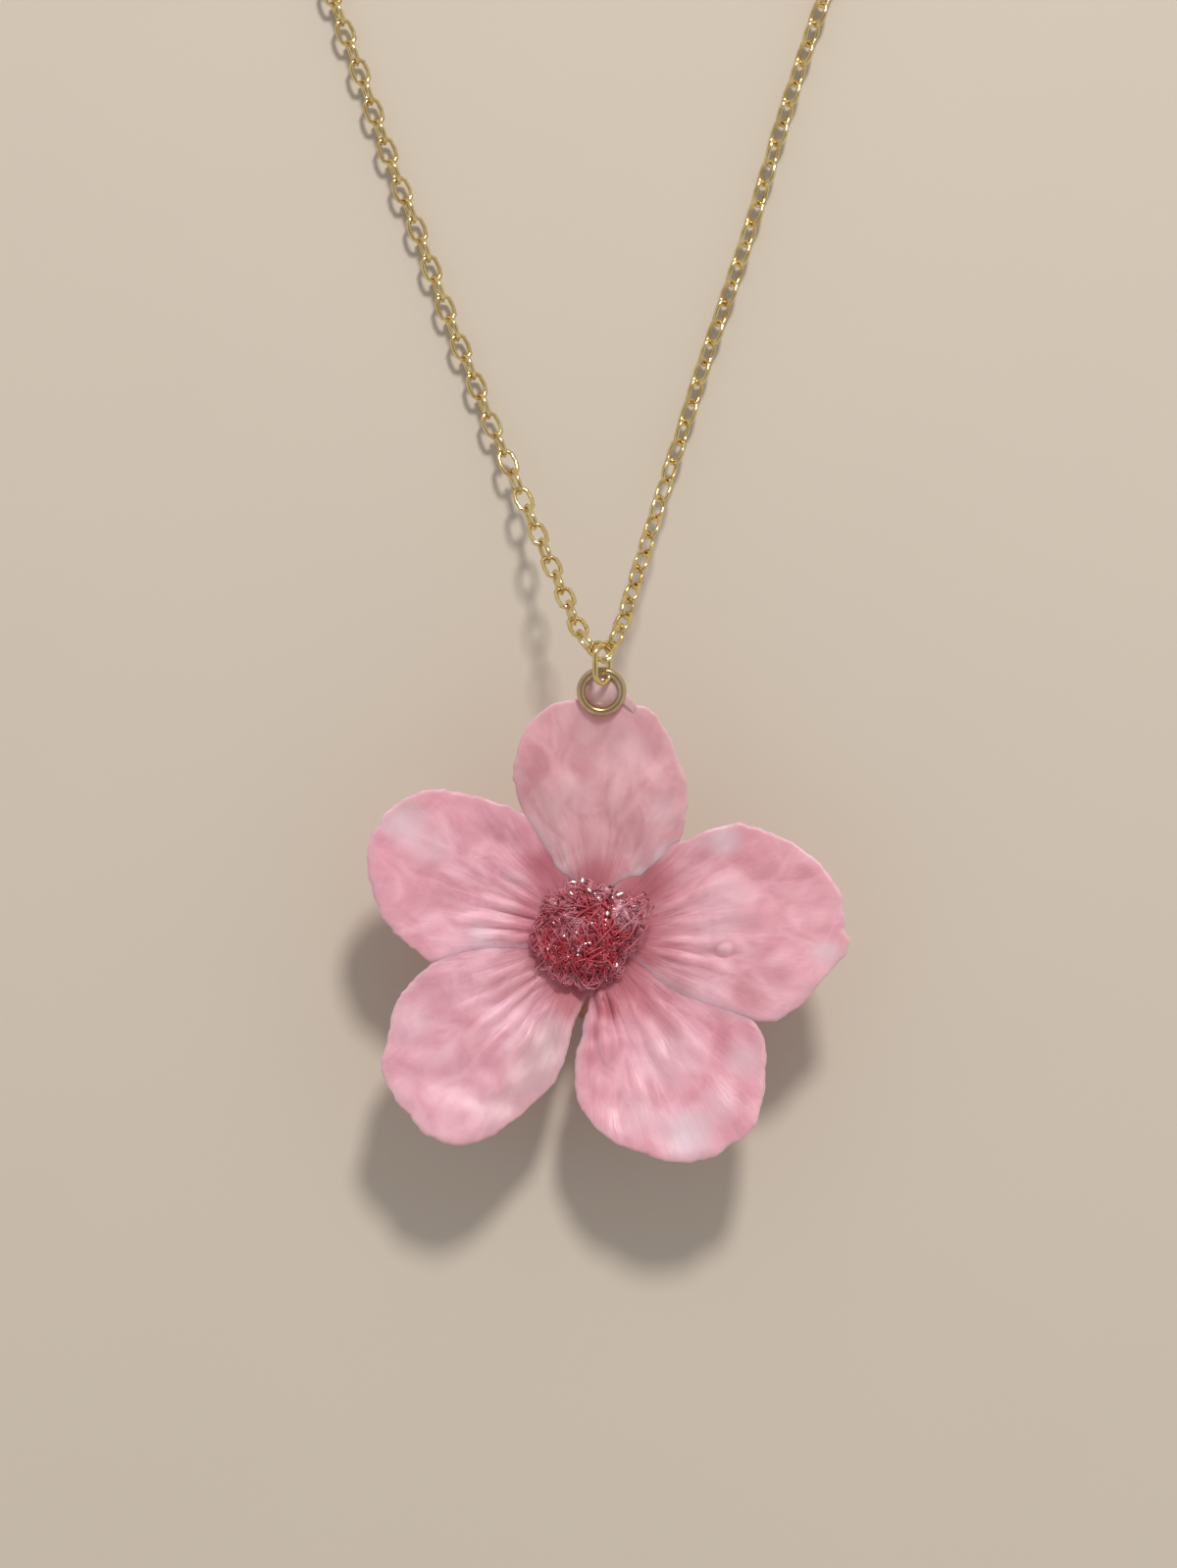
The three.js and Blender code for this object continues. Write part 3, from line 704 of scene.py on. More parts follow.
def calyx_material():
    """Brownish red sepals and cup, greener at the cut stalk, with fine lengthwise veins."""
    made, tree = new_material(
        "Calyx", Roughness=0.45, Coat_Weight=0.3, Coat_Roughness=0.2, Subsurface_Weight=0.12,
        Subsurface_Scale=0.5 * MM,
    )
    coordinates = coordinates_of(tree)
    parts = add_node(tree, "SeparateXYZ")
    tree.links.new(coordinates, parts.inputs[0])
    cloud = patterned(tree, coordinates, 520.0, 4.0, 0.6)
    grain = patterned(tree, coordinates, 1500.0, 3.0, 0.6)
    body = mixed(tree, ranged(tree, cloud, 0.3, 0.7), (0.42, 0.09, 0.08, 1.0),
                 (0.6, 0.22, 0.18, 1.0))
    body = mixed(tree, ranged(tree, parts.outputs["Z"], 1.7 * MM, 0.1 * MM, 0.0, 0.75), body,
                 (0.25, 0.19, 0.07, 1.0))
    body = mixed(tree, computed(tree, "MULTIPLY", ranged(tree, grain, 0.5, 0.7), 0.35), body,
                 (0.5, 0.2, 0.17, 1.0))
    gloss = ranged(tree, cloud, 0.3, 0.7, 0.35, 0.55)
    return finished(made, body, gloss, bumped(tree, grain, 0.05 * MM, 0.5))


def gold_material(gold):
    """Bright polished gold with faint polishing waves and duller specks."""
    made, tree = new_material("Polished gold", Metallic=1.0, Roughness=0.16)
    coordinates = coordinates_of(tree)
    cloud = patterned(tree, coordinates, 900.0, 3.0)
    scratches = patterned(tree, coordinates, 2600.0, 2.0, 0.5, 0.0, (1.0, 0.35, 1.0))
    body = mixed(tree, ranged(tree, cloud, 0.35, 0.7), colour4(gold),
                 (gold[0] * 0.82, gold[1] * 0.72, gold[2] * 0.6, 1.0))
    gloss = ranged(tree, cloud, 0.3, 0.75, 0.07, 0.2)
    return finished(made, body, gloss, bumped(tree, scratches, 0.012 * MM, 0.5))


def coated_gold_material(gold):
    """Gold that shows browner through the clear coat run over it."""
    browner = (gold[0] * 0.74, gold[1] * 0.68, gold[2] * 0.78)
    made, tree = new_material(
        "Coated gold", Metallic=1.0, Roughness=0.24, Coat_Weight=0.6, Coat_Roughness=0.08,
    )
    coordinates = coordinates_of(tree)
    cloud = patterned(tree, coordinates, 800.0, 3.0)
    body = mixed(tree, ranged(tree, cloud, 0.35, 0.7), colour4(browner),
                 (browner[0] * 0.8, browner[1] * 0.72, browner[2] * 0.7, 1.0))
    gloss = ranged(tree, cloud, 0.3, 0.75, 0.18, 0.34)
    return finished(made, body, gloss, bumped(tree, cloud, 0.03 * MM, 0.5))


def resin_material():
    """Clear, faintly rosy coat that has run together in beads."""
    made, tree = new_material(
        "Clear coat", Roughness=0.2, IOR=1.5, Transmission_Weight=0.85, Coat_Weight=0.5,
        Coat_Roughness=0.05,
    )
    coordinates = coordinates_of(tree)
    cloud = patterned(tree, coordinates, 600.0, 2.0)
    body = mixed(tree, cloud, (0.98, 0.9, 0.9, 1.0), (0.95, 0.88, 0.88, 1.0))
    return finished(made, body, normal=bumped(tree, cloud, 0.05 * MM, 0.3))


def film_material():
    """Milky, rose tinted film of clear coat that lets part of the light through."""
    made, tree = new_material(
        "Milky film", Roughness=0.18, Coat_Weight=0.4, Coat_Roughness=0.1, Alpha=0.8,
        Subsurface_Weight=0.4, Subsurface_Scale=0.5 * MM,
    )
    coordinates = coordinates_of(tree)
    cloud = patterned(tree, coordinates, 900.0, 3.0)
    body = mixed(tree, ranged(tree, cloud, 0.3, 0.7), (0.74, 0.45, 0.47, 1.0),
                 (0.82, 0.6, 0.62, 1.0))
    return finished(made, body, normal=bumped(tree, cloud, 0.08 * MM, 0.4))


def floor_material(colour):
    """Plain matt pale board."""
    made, tree = new_material("Pale board", Roughness=0.75)
    coordinates = coordinates_of(tree)
    cloud = patterned(tree, coordinates, 60.0, 5.0)
    body = mixed(tree, cloud, colour4(tuple(part * 0.97 for part in colour)), colour4(colour))
    return finished(made, body)


def shared_material(name, make):
    """The material of that name, made by the given function if it isn't there yet."""
    return bpy.data.materials.get(name) or make()


# ---- Chain ----


def link_mesh(bm, centre, along, side, length, width, wire, steps=12, sides=5):
    """Adds one oval link. Along is its long way and side its wide way."""
    bend = width / 2 - wire
    straight = length / 2 - width / 2
    profile = bmesh.ops.create_circle(bm, segments=sides, radius=wire)["verts"]
    bmesh.ops.rotate(bm, verts=profile, matrix=Matrix.Rotation(math.pi / 2, 3, "X"))
    bmesh.ops.translate(bm, verts=profile, vec=(bend, 0, 0))
    edges = list({edge for vert in profile for edge in vert.link_edges})
    before = set(bm.verts) - set(profile)
    bmesh.ops.spin(
        bm, geom=profile + edges, cent=(0, 0, 0), axis=(0, 0, 1), angle=math.tau, steps=steps,
        use_merge=True,
    )
    ring = [vert for vert in bm.verts if vert not in before]
    for vert in ring:
        vert.co.y += straight if vert.co.y > 1e-9 else -straight if vert.co.y < -1e-9 else 0
    up = side.cross(along)
    turn = Matrix((side, along, up)).transposed()
    bmesh.ops.transform(bm, verts=ring, matrix=Matrix.Translation(centre) @ turn.to_4x4())


def coil_points(centre, start, sign, exit_way):
    """A half chain's coil: in along the floor, back out on top, then down to its fastener."""
    turns = COIL_TURNS + (sign * (COIL_EXIT - start)) % 360 / 360
    count = int(turns * COIL_POINTS_PER_TURN)
    points = []
    for index in range(count + 1):
        share = index / count
        inward = 1 - abs(2 * share - 1)
        radius = COIL_OUTER_TURN + (COIL_INNER_TURN - COIL_OUTER_TURN) * inward
        angle = math.radians(start + sign * share * turns * 360)
        layer = smoothstep(share, 0.44, 0.56)
        points.append((
            centre[0] + radius * math.cos(angle), centre[1] + radius * math.sin(angle),
            CHAIN_REST_HEIGHT + COIL_LAYER * layer,
        ))
    last = points[-1]
    for distance, drop in ((1.5, 0.06), (3.0, 0.5), (4.3, 1.05), (5.4, 1.38), (6.3, COIL_LAYER)):
        points.append((last[0] + exit_way * distance, last[1], last[2] - drop))
    return points


def build_half_chain(name, points, nodes, gold, pitch, roll, seed):
    route = [place(*point[:2], *(point[2:] or [CHAIN_REST_HEIGHT])) for point in points]
    fine = smooth_path(route, 6)
    length = sum((second - first).length for first, second in zip(fine, fine[1:]))
    count = int(length / pitch) + 1
    spots = evenly(fine, count)
    bm = bmesh.new()
    upright = Vector((0, 0, 1))
    for index, spot in enumerate(spots):
        after = spots[min(index + 1, count - 1)]
        before = spots[max(index - 1, 0)]
        along = (after - before).normalized()
        across = along.cross(upright).normalized()
        wander = 9 * noise.noise(Vector((index * 0.35, seed, 0)))
        turn = math.radians(roll + wander + 90 * (index % 2))
        across = Matrix.Rotation(turn, 3, along) @ across
        link_mesh(
            bm, spot, along, across, pitch + LINK_OVERLAP * MM, CHAIN_DIAMETER * MM,
            CHAIN_WIRE_RADIUS * MM,
        )
    piece = new_object(name, mesh_from(bm, name), gold)
    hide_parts(*nodes)


class BLOSSOM_OT_chain(bpy.types.Operator):
    """Make both halves of the chain, each wound into a coil behind the flower"""

    bl_idname = "blossom.chain"
    bl_label = "Chain"

    def execute(self, context):
        metal = context.scene.blossom_metal
        gold = shared_material("Polished gold", lambda: gold_material(metal.gold))
        left = CHAIN_LEFT_POINTS + coil_points(COIL_LEFT_CENTRE, COIL_LEFT_START, -1, 1)
        right = CHAIN_RIGHT_POINTS + coil_points(COIL_RIGHT_CENTRE, COIL_RIGHT_START, 1, -1)
        build_half_chain(
            "chain_half_left", left, ("chain_left", "chain_coil_left"), gold,
            metal.pitch, 20, 1,
        )
        build_half_chain(
            "chain_half_right", right, ("chain_right", "chain_coil_right"), gold,
            metal.pitch, -42, 5,
        )
        for node in ("clasp_hook", "clasp_ring"):
            bpy.data.objects[node].data.materials.clear()
            bpy.data.objects[node].data.materials.append(gold)
        return {"FINISHED"}


# ---- Ring and connecting link ----


class BLOSSOM_OT_ring(bpy.types.Operator):
    """Make the ring set in the top petal and the oval link that joins it to the chain"""

    bl_idname = "blossom.ring"
    bl_label = "Ring and link"

    def execute(self, context):
        metal = context.scene.blossom_metal
        gold = shared_material("Polished gold", lambda: gold_material(metal.gold))
        coated = coated_gold_material(metal.gold)
        bm = bmesh.new()
        tilt = math.radians(RING_TILT)
        link_mesh(
            bm, place(*RING_CENTRE), Vector((0, math.cos(tilt), math.sin(tilt))),
            Vector((1, 0, 0)), RING_DIAMETER * MM, RING_DIAMETER * MM, RING_WIRE_RADIUS * MM,
            64, 24,
        )
        ring = new_object("gold_ring", mesh_from(bm, "gold_ring"), coated)
        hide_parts("embedded_ring")
        bm = bmesh.new()
        turn = math.radians(LINK_TURN)
        link_mesh(
            bm, place(*LINK_CENTRE), Vector((0, 1, 0)),
            Vector((math.cos(turn), 0, -math.sin(turn))), LINK_LENGTH * MM, LINK_WIDTH * MM,
            LINK_WIRE_RADIUS * MM, 48, 20,
        )
        link = new_object("gold_link", mesh_from(bm, "gold_link"), gold)
        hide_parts("connecting_link")
        return {"FINISHED"}


# ---- Petals ----


def petal_surface(spec, outline, reached, u, v):
    """The place of a grid point on a petal, with how far out it lies from centre to rim."""
    across = u * math.sqrt(1 - v * v / 2)
    along = v * math.sqrt(1 - u * u / 2)
    radius = min(1.0, math.hypot(across, along))
    turn = (math.atan2(along, across) / math.tau) % 1.0
    rim = outline_point(outline, reached, turn)
    centre = Vector(spec["centre"])
    return centre.lerp(rim, radius), radius, (rim - centre).length


def outline_point(outline, reached, share):
    """The point at a share of the length round a closed outline."""
    target = share * reached[-1]
    low, high = 0, len(reached) - 1
    while high - low > 1:
        middle = (low + high) // 2
        if reached[middle] <= target:
            low = middle
        else:
            high = middle
    part = (target - reached[low]) / max(1e-12, reached[high] - reached[low])
    return outline[low].lerp(outline[high % len(outline)], part)


def petal_height(spec, x, y):
    """The height of a petal's middle surface at a place, in millimetres."""
    axis = math.radians(spec["axis"])
    along = x * math.cos(axis) + y * math.sin(axis)
    across = y * math.cos(axis) - x * math.sin(axis)
    reach = max(0.0, (along - CLAW_RADIUS) / (spec["length"] - CLAW_RADIUS))
    sideways = across / PETAL_HALF_WIDTH
    opened = smoothstep(reach, 0, OPENING_REACH)
    height = spec["base"] + spec["lift"] * reach ** spec["bow"]
    height += opened * (spec["cup"] * sideways * sideways + spec["tilt"] * sideways)
    return height, opened


def closed_outline(spec):
    """A petal's outline from the spot straight right of its centre, with the length so far."""
    outline = smooth_path([Vector(point) for point in spec["outline"]], 8, closed=True)
    if sum(a.x * b.y - b.x * a.y for a, b in zip(outline, outline[1:] + outline[:1])) < 0:
        outline.reverse()
    centre = Vector(spec["centre"])
    bearings = [abs(math.atan2(p.y - centre.y, p.x - centre.x)) for p in outline]
    start = bearings.index(min(bearings))
    outline = outline[start:] + outline[:start]
    reached = [0.0]
    for first, second in zip(outline, outline[1:] + outline[:1]):
        reached.append(reached[-1] + (second - first).length)
    return outline, reached


def undulation(x, y):
    """The slow rise and fall that neighbouring petals share, in millimetres."""
    wave = noise.noise(Vector((x * 0.22, y * 0.22, 81.7)))
    dent = noise.noise(Vector((x * 0.55, y * 0.55, 61.7)))
    return 0.42 * wave + 0.18 * dent


def patch_sum(patches, flat):
    """How strongly soft round patches cover a place, from 0 to 1."""
    total = sum(
        power * smoothstep(math.hypot(flat.x - x, flat.y - y), size * 1.4, size * 0.2)
        for x, y, size, power in patches
    )
    return min(1.0, total)


def build_petal(name, spec, settings, material, seed):
    """Shapes one petal from a grid: its outline, its fall, its folds and its thin rim."""
    outline, reached = closed_outline(spec)
    centre = Vector(spec["centre"])
    upper = PETALS.get(spec.get("under"))
    upper_edge = closed_outline(upper)[0][::3] if upper else []
    bm = bmesh.new()
    bmesh.ops.create_grid(bm, x_segments=settings.cells, y_segments=settings.cells, size=1)
    fan = bm.loops.layers.uv.new("Fan")
    pale = bm.verts.layers.float.new("pale")
    shade = bm.verts.layers.float.new("shade")
    painted_grey_shade = bm.verts.layers.float.new("painted_grey_shade")
    edge = bm.verts.layers.float.new("rim")
    weights = bm.verts.layers.deform.verify()
    axis = math.radians(spec["axis"])
    spread = {}
    for vert in bm.verts:
        flat, radius, width = petal_surface(spec, outline, reached, vert.co.x, vert.co.y)
        ragged = noise.noise(Vector((flat.x * 1.1, flat.y * 1.1, seed + 5)))
        ragged += 0.6 * noise.noise(Vector((flat.x * 2.7, flat.y * 2.7, seed + 6)))
        flat += (flat - centre).normalized() * ragged * 0.14 * radius ** 8
        height, opened = petal_height(spec, flat.x, flat.y)
        if upper:
            gap = min((flat - point).length for point in upper_edge)
            close = 1 - smoothstep(gap, 0.5, 3.2)
            above = petal_height(upper, flat.x, flat.y)[0]
            height += close * (above - PETAL_STEP - height)
        distance = flat.length
        angle = math.atan2(flat.y, flat.x) - axis
        angle = (angle + math.pi) % math.tau - math.pi
        to_rim = (1 - radius) * width
        fine = noise.noise(Vector((angle * 13, distance * 0.2, seed)))
        finer = noise.noise(Vector((angle * 34, distance * 0.3, seed + 40)))
        calm = smoothstep(to_rim, 0.0, 1.5) * smoothstep(distance, 13.5, 8.0)
        height += opened * settings.ripple / MM * (fine + 0.3 * finer) * (0.25 + 0.75 * calm)
        height += smoothstep(distance, 3.0, 6.0) * undulation(flat.x, flat.y)
        for bearing, breadth, first, last, rise in spec["folds"]:
            off = math.degrees(angle + axis) - bearing
            off = (off + 180) % 360 - 180
            off += 2.5 * noise.noise(Vector((distance * 0.5, bearing, seed)))
            ends = smoothstep(distance, first, first + 1.5) * smoothstep(distance, last, last - 4)
            height += rise * ends * math.exp(-(off / breadth) ** 2)
        wrinkle_shade = 0.0
        for mark_x, mark_y, wide, tall, depth in spec.get("marks", []):
            off = math.hypot((flat.x - mark_x) / wide, (flat.y - mark_y) / tall)
            off += 0.5 * noise.noise(Vector((flat.x * 1.6, flat.y * 1.6, seed + 3)))
            ring = math.exp(-((off - 1) / 0.34) ** 2)
            height += depth * ring
            # The wrinkle's ring is also painted darker as shade.
            wrinkle_shade += 0.4 * ring
        # Lighter patches are partly whitish patches and partly painted highlights; the deep and
        # greyish patches and the wrinkle rings are painted shade.
        vert[pale] = patch_sum(spec["pale"], flat)
        vert[shade] = min(1.0, patch_sum(spec["shade"], flat) + wrinkle_shade)
        vert[painted_grey_shade] = patch_sum(spec.get("painted_grey_shade", []), flat)
        vert[edge] = to_rim
        round_off = min(1.0, to_rim / 0.8)
        vert[weights][0] = math.sqrt(1 - (1 - round_off) ** 2)
        spread[vert] = (angle, distance / 10)
        vert.co = place(flat.x, flat.y, height)
    for face in bm.faces:
        for loop in face.loops:
            loop[fan].uv = spread[loop.vert]
    mesh = mesh_from(bm, name)
    petal = new_object(name, mesh, material)
    petal.vertex_groups.new(name="Wall")
    wall = petal.modifiers.new("Wall", "SOLIDIFY")
    wall.thickness = settings.thickness
    wall.offset = 0
    wall.vertex_group = "Wall"
    wall.thickness_vertex_group = 0.15
    wall.use_even_offset = False
    return petal


class BLOSSOM_OT_petals(bpy.types.Operator):
    """Make the five coated petals"""

    bl_idname = "blossom.petals"
    bl_label = "Petals"

    def execute(self, context):
        settings = context.scene.blossom_petals
        for seed, (name, spec) in enumerate(PETALS.items()):
            tone, deep, smooth_share = PETAL_LOOKS[name]
            tone = tuple(
                part * own / standard
                for part, own, standard in zip(tone, settings.colour, PETAL_PINK)
            )
            material = petal_material("Satin " + name, tone, deep, smooth_share)
            petal = build_petal("coated_" + name, spec, settings, material, seed * 7.3 + 1.7)
            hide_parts(name)
        return {"FINISHED"}


# ---- Stamens, pistil and calyx ----


def knot_reach(angle):
    """How far the knot of stamens spreads from the flower's axis at an angle, in millimetres."""
    degrees = math.degrees(angle) % 360
    for (first, near), (second, far) in zip(KNOT_CORNERS, KNOT_CORNERS[1:]):
        if first <= degrees <= second:
            share = (degrees - first) / (second - first)
            frayed = 0.28 * noise.noise(Vector((degrees * 0.09, 1.3, 0)))
            return near + (far - near) * share + frayed


def knot_height(x, y):
    """The height of the matted mass at a place, in millimetres, with its lumps."""
    share = min(1.0, math.hypot(x, y) / knot_reach(math.atan2(y, x)))
    lump = noise.noise(Vector((x * 0.75, y * 0.75, 3.0)))
    lump += 0.5 * noise.noise(Vector((x * 1.9, y * 1.9, 8.0)))
    return KNOT_RIM_HEIGHT + KNOT_RISE * (1 - share ** 1.8) + 0.38 * lump


def knot_tone(x, y):
    """How pink the mass is at a place: 0 is crimson and 1 is pink."""
    pink = 0.0
    for spot_x, spot_y, strength, outer, inner in KNOT_PINK_SPOTS:
        pink += strength * smoothstep(math.hypot(x - spot_x, y - spot_y), outer, inner)
    pink += 1.6 * smoothstep(math.hypot((x - 2.25) / 0.85, (y - 1.4) / 1.05), 1.3, 0.6)
    share = math.hypot(x, y) / knot_reach(math.atan2(y, x))
    pink += 0.7 * smoothstep(share, 0.72, 1.0)
    pink += 0.5 * noise.noise(Vector((x * 1.6, y * 1.6, 5.0)))
    return pink + 0.1


def matted_strand(rng, radius):
    """One filament that curls over the matted mass, as points with a radius each."""
    # The foot keeps out of the pink window at the right of the mass.
    clear = 0.0
    while clear < 0.95:
        bearing = rng.uniform(0, math.tau)
        share = math.sqrt(rng.random()) * 0.97
        spot = Vector((math.cos(bearing), math.sin(bearing))) * knot_reach(bearing) * share
        clear = math.hypot((spot.x - 2.25) / 0.95, (spot.y - 1.35) / 1.15)
    heading = bearing + math.pi / 2 + rng.uniform(-1.3, 1.3)
    bend = rng.choice((-1, 1)) * rng.uniform(0.0, 0.8)
    change = rng.uniform(-0.7, 0.9)
    length = rng.uniform(0.9, 3.0)
    raised = rng.uniform(-0.07, 0.08)
    arch = max(0.0, rng.uniform(-0.5, 0.4))
    steps = 11
    strand = []
    for index in range(steps + 1):
        part = index / steps
        lift = raised + arch * math.sin(math.pi * part)
        ends = min(1.0, 4 * part + 0.3, 4 * (1 - part) + 0.3)
        height = knot_height(spot.x, spot.y) + lift
        strand.append((place(spot.x, spot.y, height), radius * ends))
        away = math.atan2(spot.y, spot.x)
        if spot.length > knot_reach(away) * 0.98:
            turned = (away + math.pi - heading + math.pi) % math.tau - math.pi
            heading += max(-0.9, min(0.9, turned))
        heading += (bend + change * part) * length / steps
        spot = spot + Vector((math.cos(heading), math.sin(heading))) * length / steps
    return strand


def risen_strand(rng, bearing, radius):
    """One filament that stands out of the mass with a curled end."""
    foot = Vector((math.cos(bearing), math.sin(bearing))) * knot_reach(bearing)
    foot = foot * rng.uniform(0.3, 0.8)
    out = Vector((math.cos(bearing + rng.uniform(-0.6, 0.6)), math.sin(bearing), 0))
    twist = rng.uniform(0, math.tau)
    speed = rng.uniform(2.5, 5.0) * rng.choice((-1, 1))
    start = Vector((foot.x, foot.y, knot_height(foot.x, foot.y) - 0.15))
    strand = []
    for index in range(9):
        part = index / 8
        swing = twist + speed * part
        spot = start + out * part * 0.8 + Vector((0, 0, 0.75 * math.sin(part * 2.3)))
        spot += Vector((math.cos(swing), math.sin(swing), 0)) * 0.25 * part
        strand.append((place(*spot), radius * (1 - 0.3 * part)))
    return strand


class BLOSSOM_OT_stamens(bpy.types.Operator):
    """Make the matted knot of wet stamens, its dark tips and the mass they have run into"""

    bl_idname = "blossom.stamens"
    bl_label = "Stamens"

    def execute(self, context):
        settings = context.scene.blossom_stamens
        rng = random.Random(11)
        strands = []
        for index in range(settings.count):
            strands.append(matted_strand(rng, settings.radius * rng.uniform(0.6, 1.25)))
        tips = []
        for index in range(24):
            strand = risen_strand(rng, math.tau * index / 24, settings.radius * 0.85)
            strands.append(strand)
            tips.append(strand[-1][0])
        for points in LOOPED_STAMENS:
            path = smooth_path([place(*point) for point in points], 5)
            strands.append([(spot, settings.radius * 1.3) for spot in path])
            tips.append(path[-1])
        mesh = swept_mesh("stamen_knot", strands, 6)
        tone = mesh.attributes.new("tone", "FLOAT", "POINT")
        values = []
        for vert in mesh.vertices:
            x = (vert.co.x - AXIS_X) / MM
            y = (vert.co.y - AXIS_Y) / MM
            values.append(min(1.0, max(0.0, 0.8 * knot_tone(x, y) + 0.1)))
        tone.data.foreach_set("value", values)
        knot = new_object("stamen_knot", mesh, stamen_material(settings.colour))
        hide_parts(*STAMEN_NODES)
        self.make_tips(rng, tips)
        self.make_core()
        return {"FINISHED"}

    def make_tips(self, rng, tips):
        """Makes the dark bean-shaped anthers, on the risen filaments and scattered in the mass."""
        bm = bmesh.new()
        spots = list(tips)
        for index in range(22):
            bearing = rng.uniform(0, math.tau)
            reach = knot_reach(bearing) * math.sqrt(rng.random()) * 0.95
            x, y = reach * math.cos(bearing), reach * math.sin(bearing)
            spots.append(place(x, y, knot_height(x, y) + rng.uniform(0.0, 0.1)))
        for spot in spots:
            size = rng.uniform(0.08, 0.14) * MM
            made = bmesh.ops.create_uvsphere(bm, u_segments=8, v_segments=6, radius=size)
            axis = (rng.uniform(-1, 1), rng.uniform(-1, 1), rng.uniform(-0.4, 0.4))
            turn = Quaternion(axis, rng.uniform(0, 3)).to_matrix().to_4x4()
            shape = Matrix.Diagonal((1.0, rng.uniform(0.6, 0.8), rng.uniform(1.2, 1.8), 1.0))
            bmesh.ops.transform(
                bm, verts=made["verts"], matrix=Matrix.Translation(spot) @ turn @ shape
            )
        new_object("stamen_tips", mesh_from(bm, "stamen_tips"), anther_material())

    def make_core(self):
        """Makes the dark mass under the filaments and hides the pistil."""
        bm = bmesh.new()
        made = bmesh.ops.create_uvsphere(bm, u_segments=120, v_segments=60, radius=1.0)
        for vert in made["verts"]:
            bearing = math.atan2(vert.co.y, vert.co.x)
            flat = min(1.0, math.hypot(vert.co.x, vert.co.y))
            reach = knot_reach(bearing) * flat * 0.97
            x, y = reach * math.cos(bearing), reach * math.sin(bearing)
            if vert.co.z >= 0:
                grain = 0.3 * noise.noise(Vector((x * 3.6, y * 3.6, 2.0)))
                vert.co = place(x, y, knot_height(x, y) + grain - 0.1)
            else:
                vert.co = place(x, y, 5.3 + 1.3 * vert.co.z)
        mesh = mesh_from(bm, "stamen_core")
        tone = mesh.attributes.new("tone", "FLOAT", "POINT")
        tone.data.foreach_set("value", [
            max(0.0, knot_tone((vert.co.x - AXIS_X) / MM, (vert.co.y - AXIS_Y) / MM))
            for vert in mesh.vertices
        ])
        core = new_object("stamen_core", mesh, core_material())
        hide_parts("pistil")


class BLOSSOM_OT_calyx(bpy.types.Operator):
    """Make the cup, the cut stalk and the five sepals"""

    bl_idname = "blossom.calyx"
    bl_label = "Calyx"

    def execute(self, context):
        material = calyx_material()
        bm = bmesh.new()
        verts = [bm.verts.new(place(radius, 0, height)) for radius, height in CUP_PROFILE]
        edges = [bm.edges.new(pair) for pair in zip(verts, verts[1:])]
        bmesh.ops.spin(
            bm, geom=verts + edges, cent=place(0, 0, 0), axis=(0, 0, 1), angle=math.tau,
            steps=48, use_merge=True,
        )
        bmesh.ops.remove_doubles(bm, verts=bm.verts, dist=1e-6)
        for vert in bm.verts:
            out = vert.co - place(0, 0, vert.co.z / MM)
            angle = math.atan2(out.y, out.x)
            ridge = 1 + 0.05 * math.cos(angle * 10) + 0.02 * noise.noise(vert.co / (0.4 * MM))
            if vert.co.z > 0.05 * MM:
                vert.co = place(0, 0, vert.co.z / MM) + out * ridge
        for index in range(5):
            self.add_sepal(bm, math.radians(46 + 72 * index), index)
        piece = new_object("calyx_cup", mesh_from(bm, "calyx_cup"), material)
        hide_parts("calyx")
        return {"FINISHED"}

    def add_sepal(self, bm, turn, seed):
        """Adds one pointed sepal that bends down from the cup's rim to the surface."""
        grid = bmesh.ops.create_grid(bm, x_segments=28, y_segments=10, size=1)["verts"]
        faces = {face for vert in grid for face in vert.link_faces}
        spine = smooth_path([Vector((radius, 0, height)) for radius, height in SEPAL_SPINE], 6)
        for vert in grid:
            share = (vert.co.x + 1) / 2
            across = vert.co.y
            width = 0.95 * (math.sin(math.pi * (0.2 + 0.8 * share) ** 0.85) ** 0.75 + 0.02)
            at = min(len(spine) - 1.001, share * (len(spine) - 1))
            low = int(at)
            spot = spine[low].lerp(spine[low + 1], at - low)
            serration = 1 + 0.06 * noise.noise(Vector((share * 18, across * 0.5, seed)))
            lift = 0.18 * across * across + 0.05 * math.cos(across * 9) * (1 - share)
            lift += 0.1 * noise.noise(Vector((share * 4, across * 2, seed + 9)))
            x, y = spot.x, across * width * serration
            vert.co = place(
                x * math.cos(turn) - y * math.sin(turn), x * math.sin(turn) + y * math.cos(turn),
                max(0.2, spot.z + lift * (1 - share * share)),
            )
        bmesh.ops.recalc_face_normals(bm, faces=list(faces))
        bmesh.ops.solidify(bm, geom=list(faces), thickness=0.3 * MM)


# ---- Resin between the pieces ----


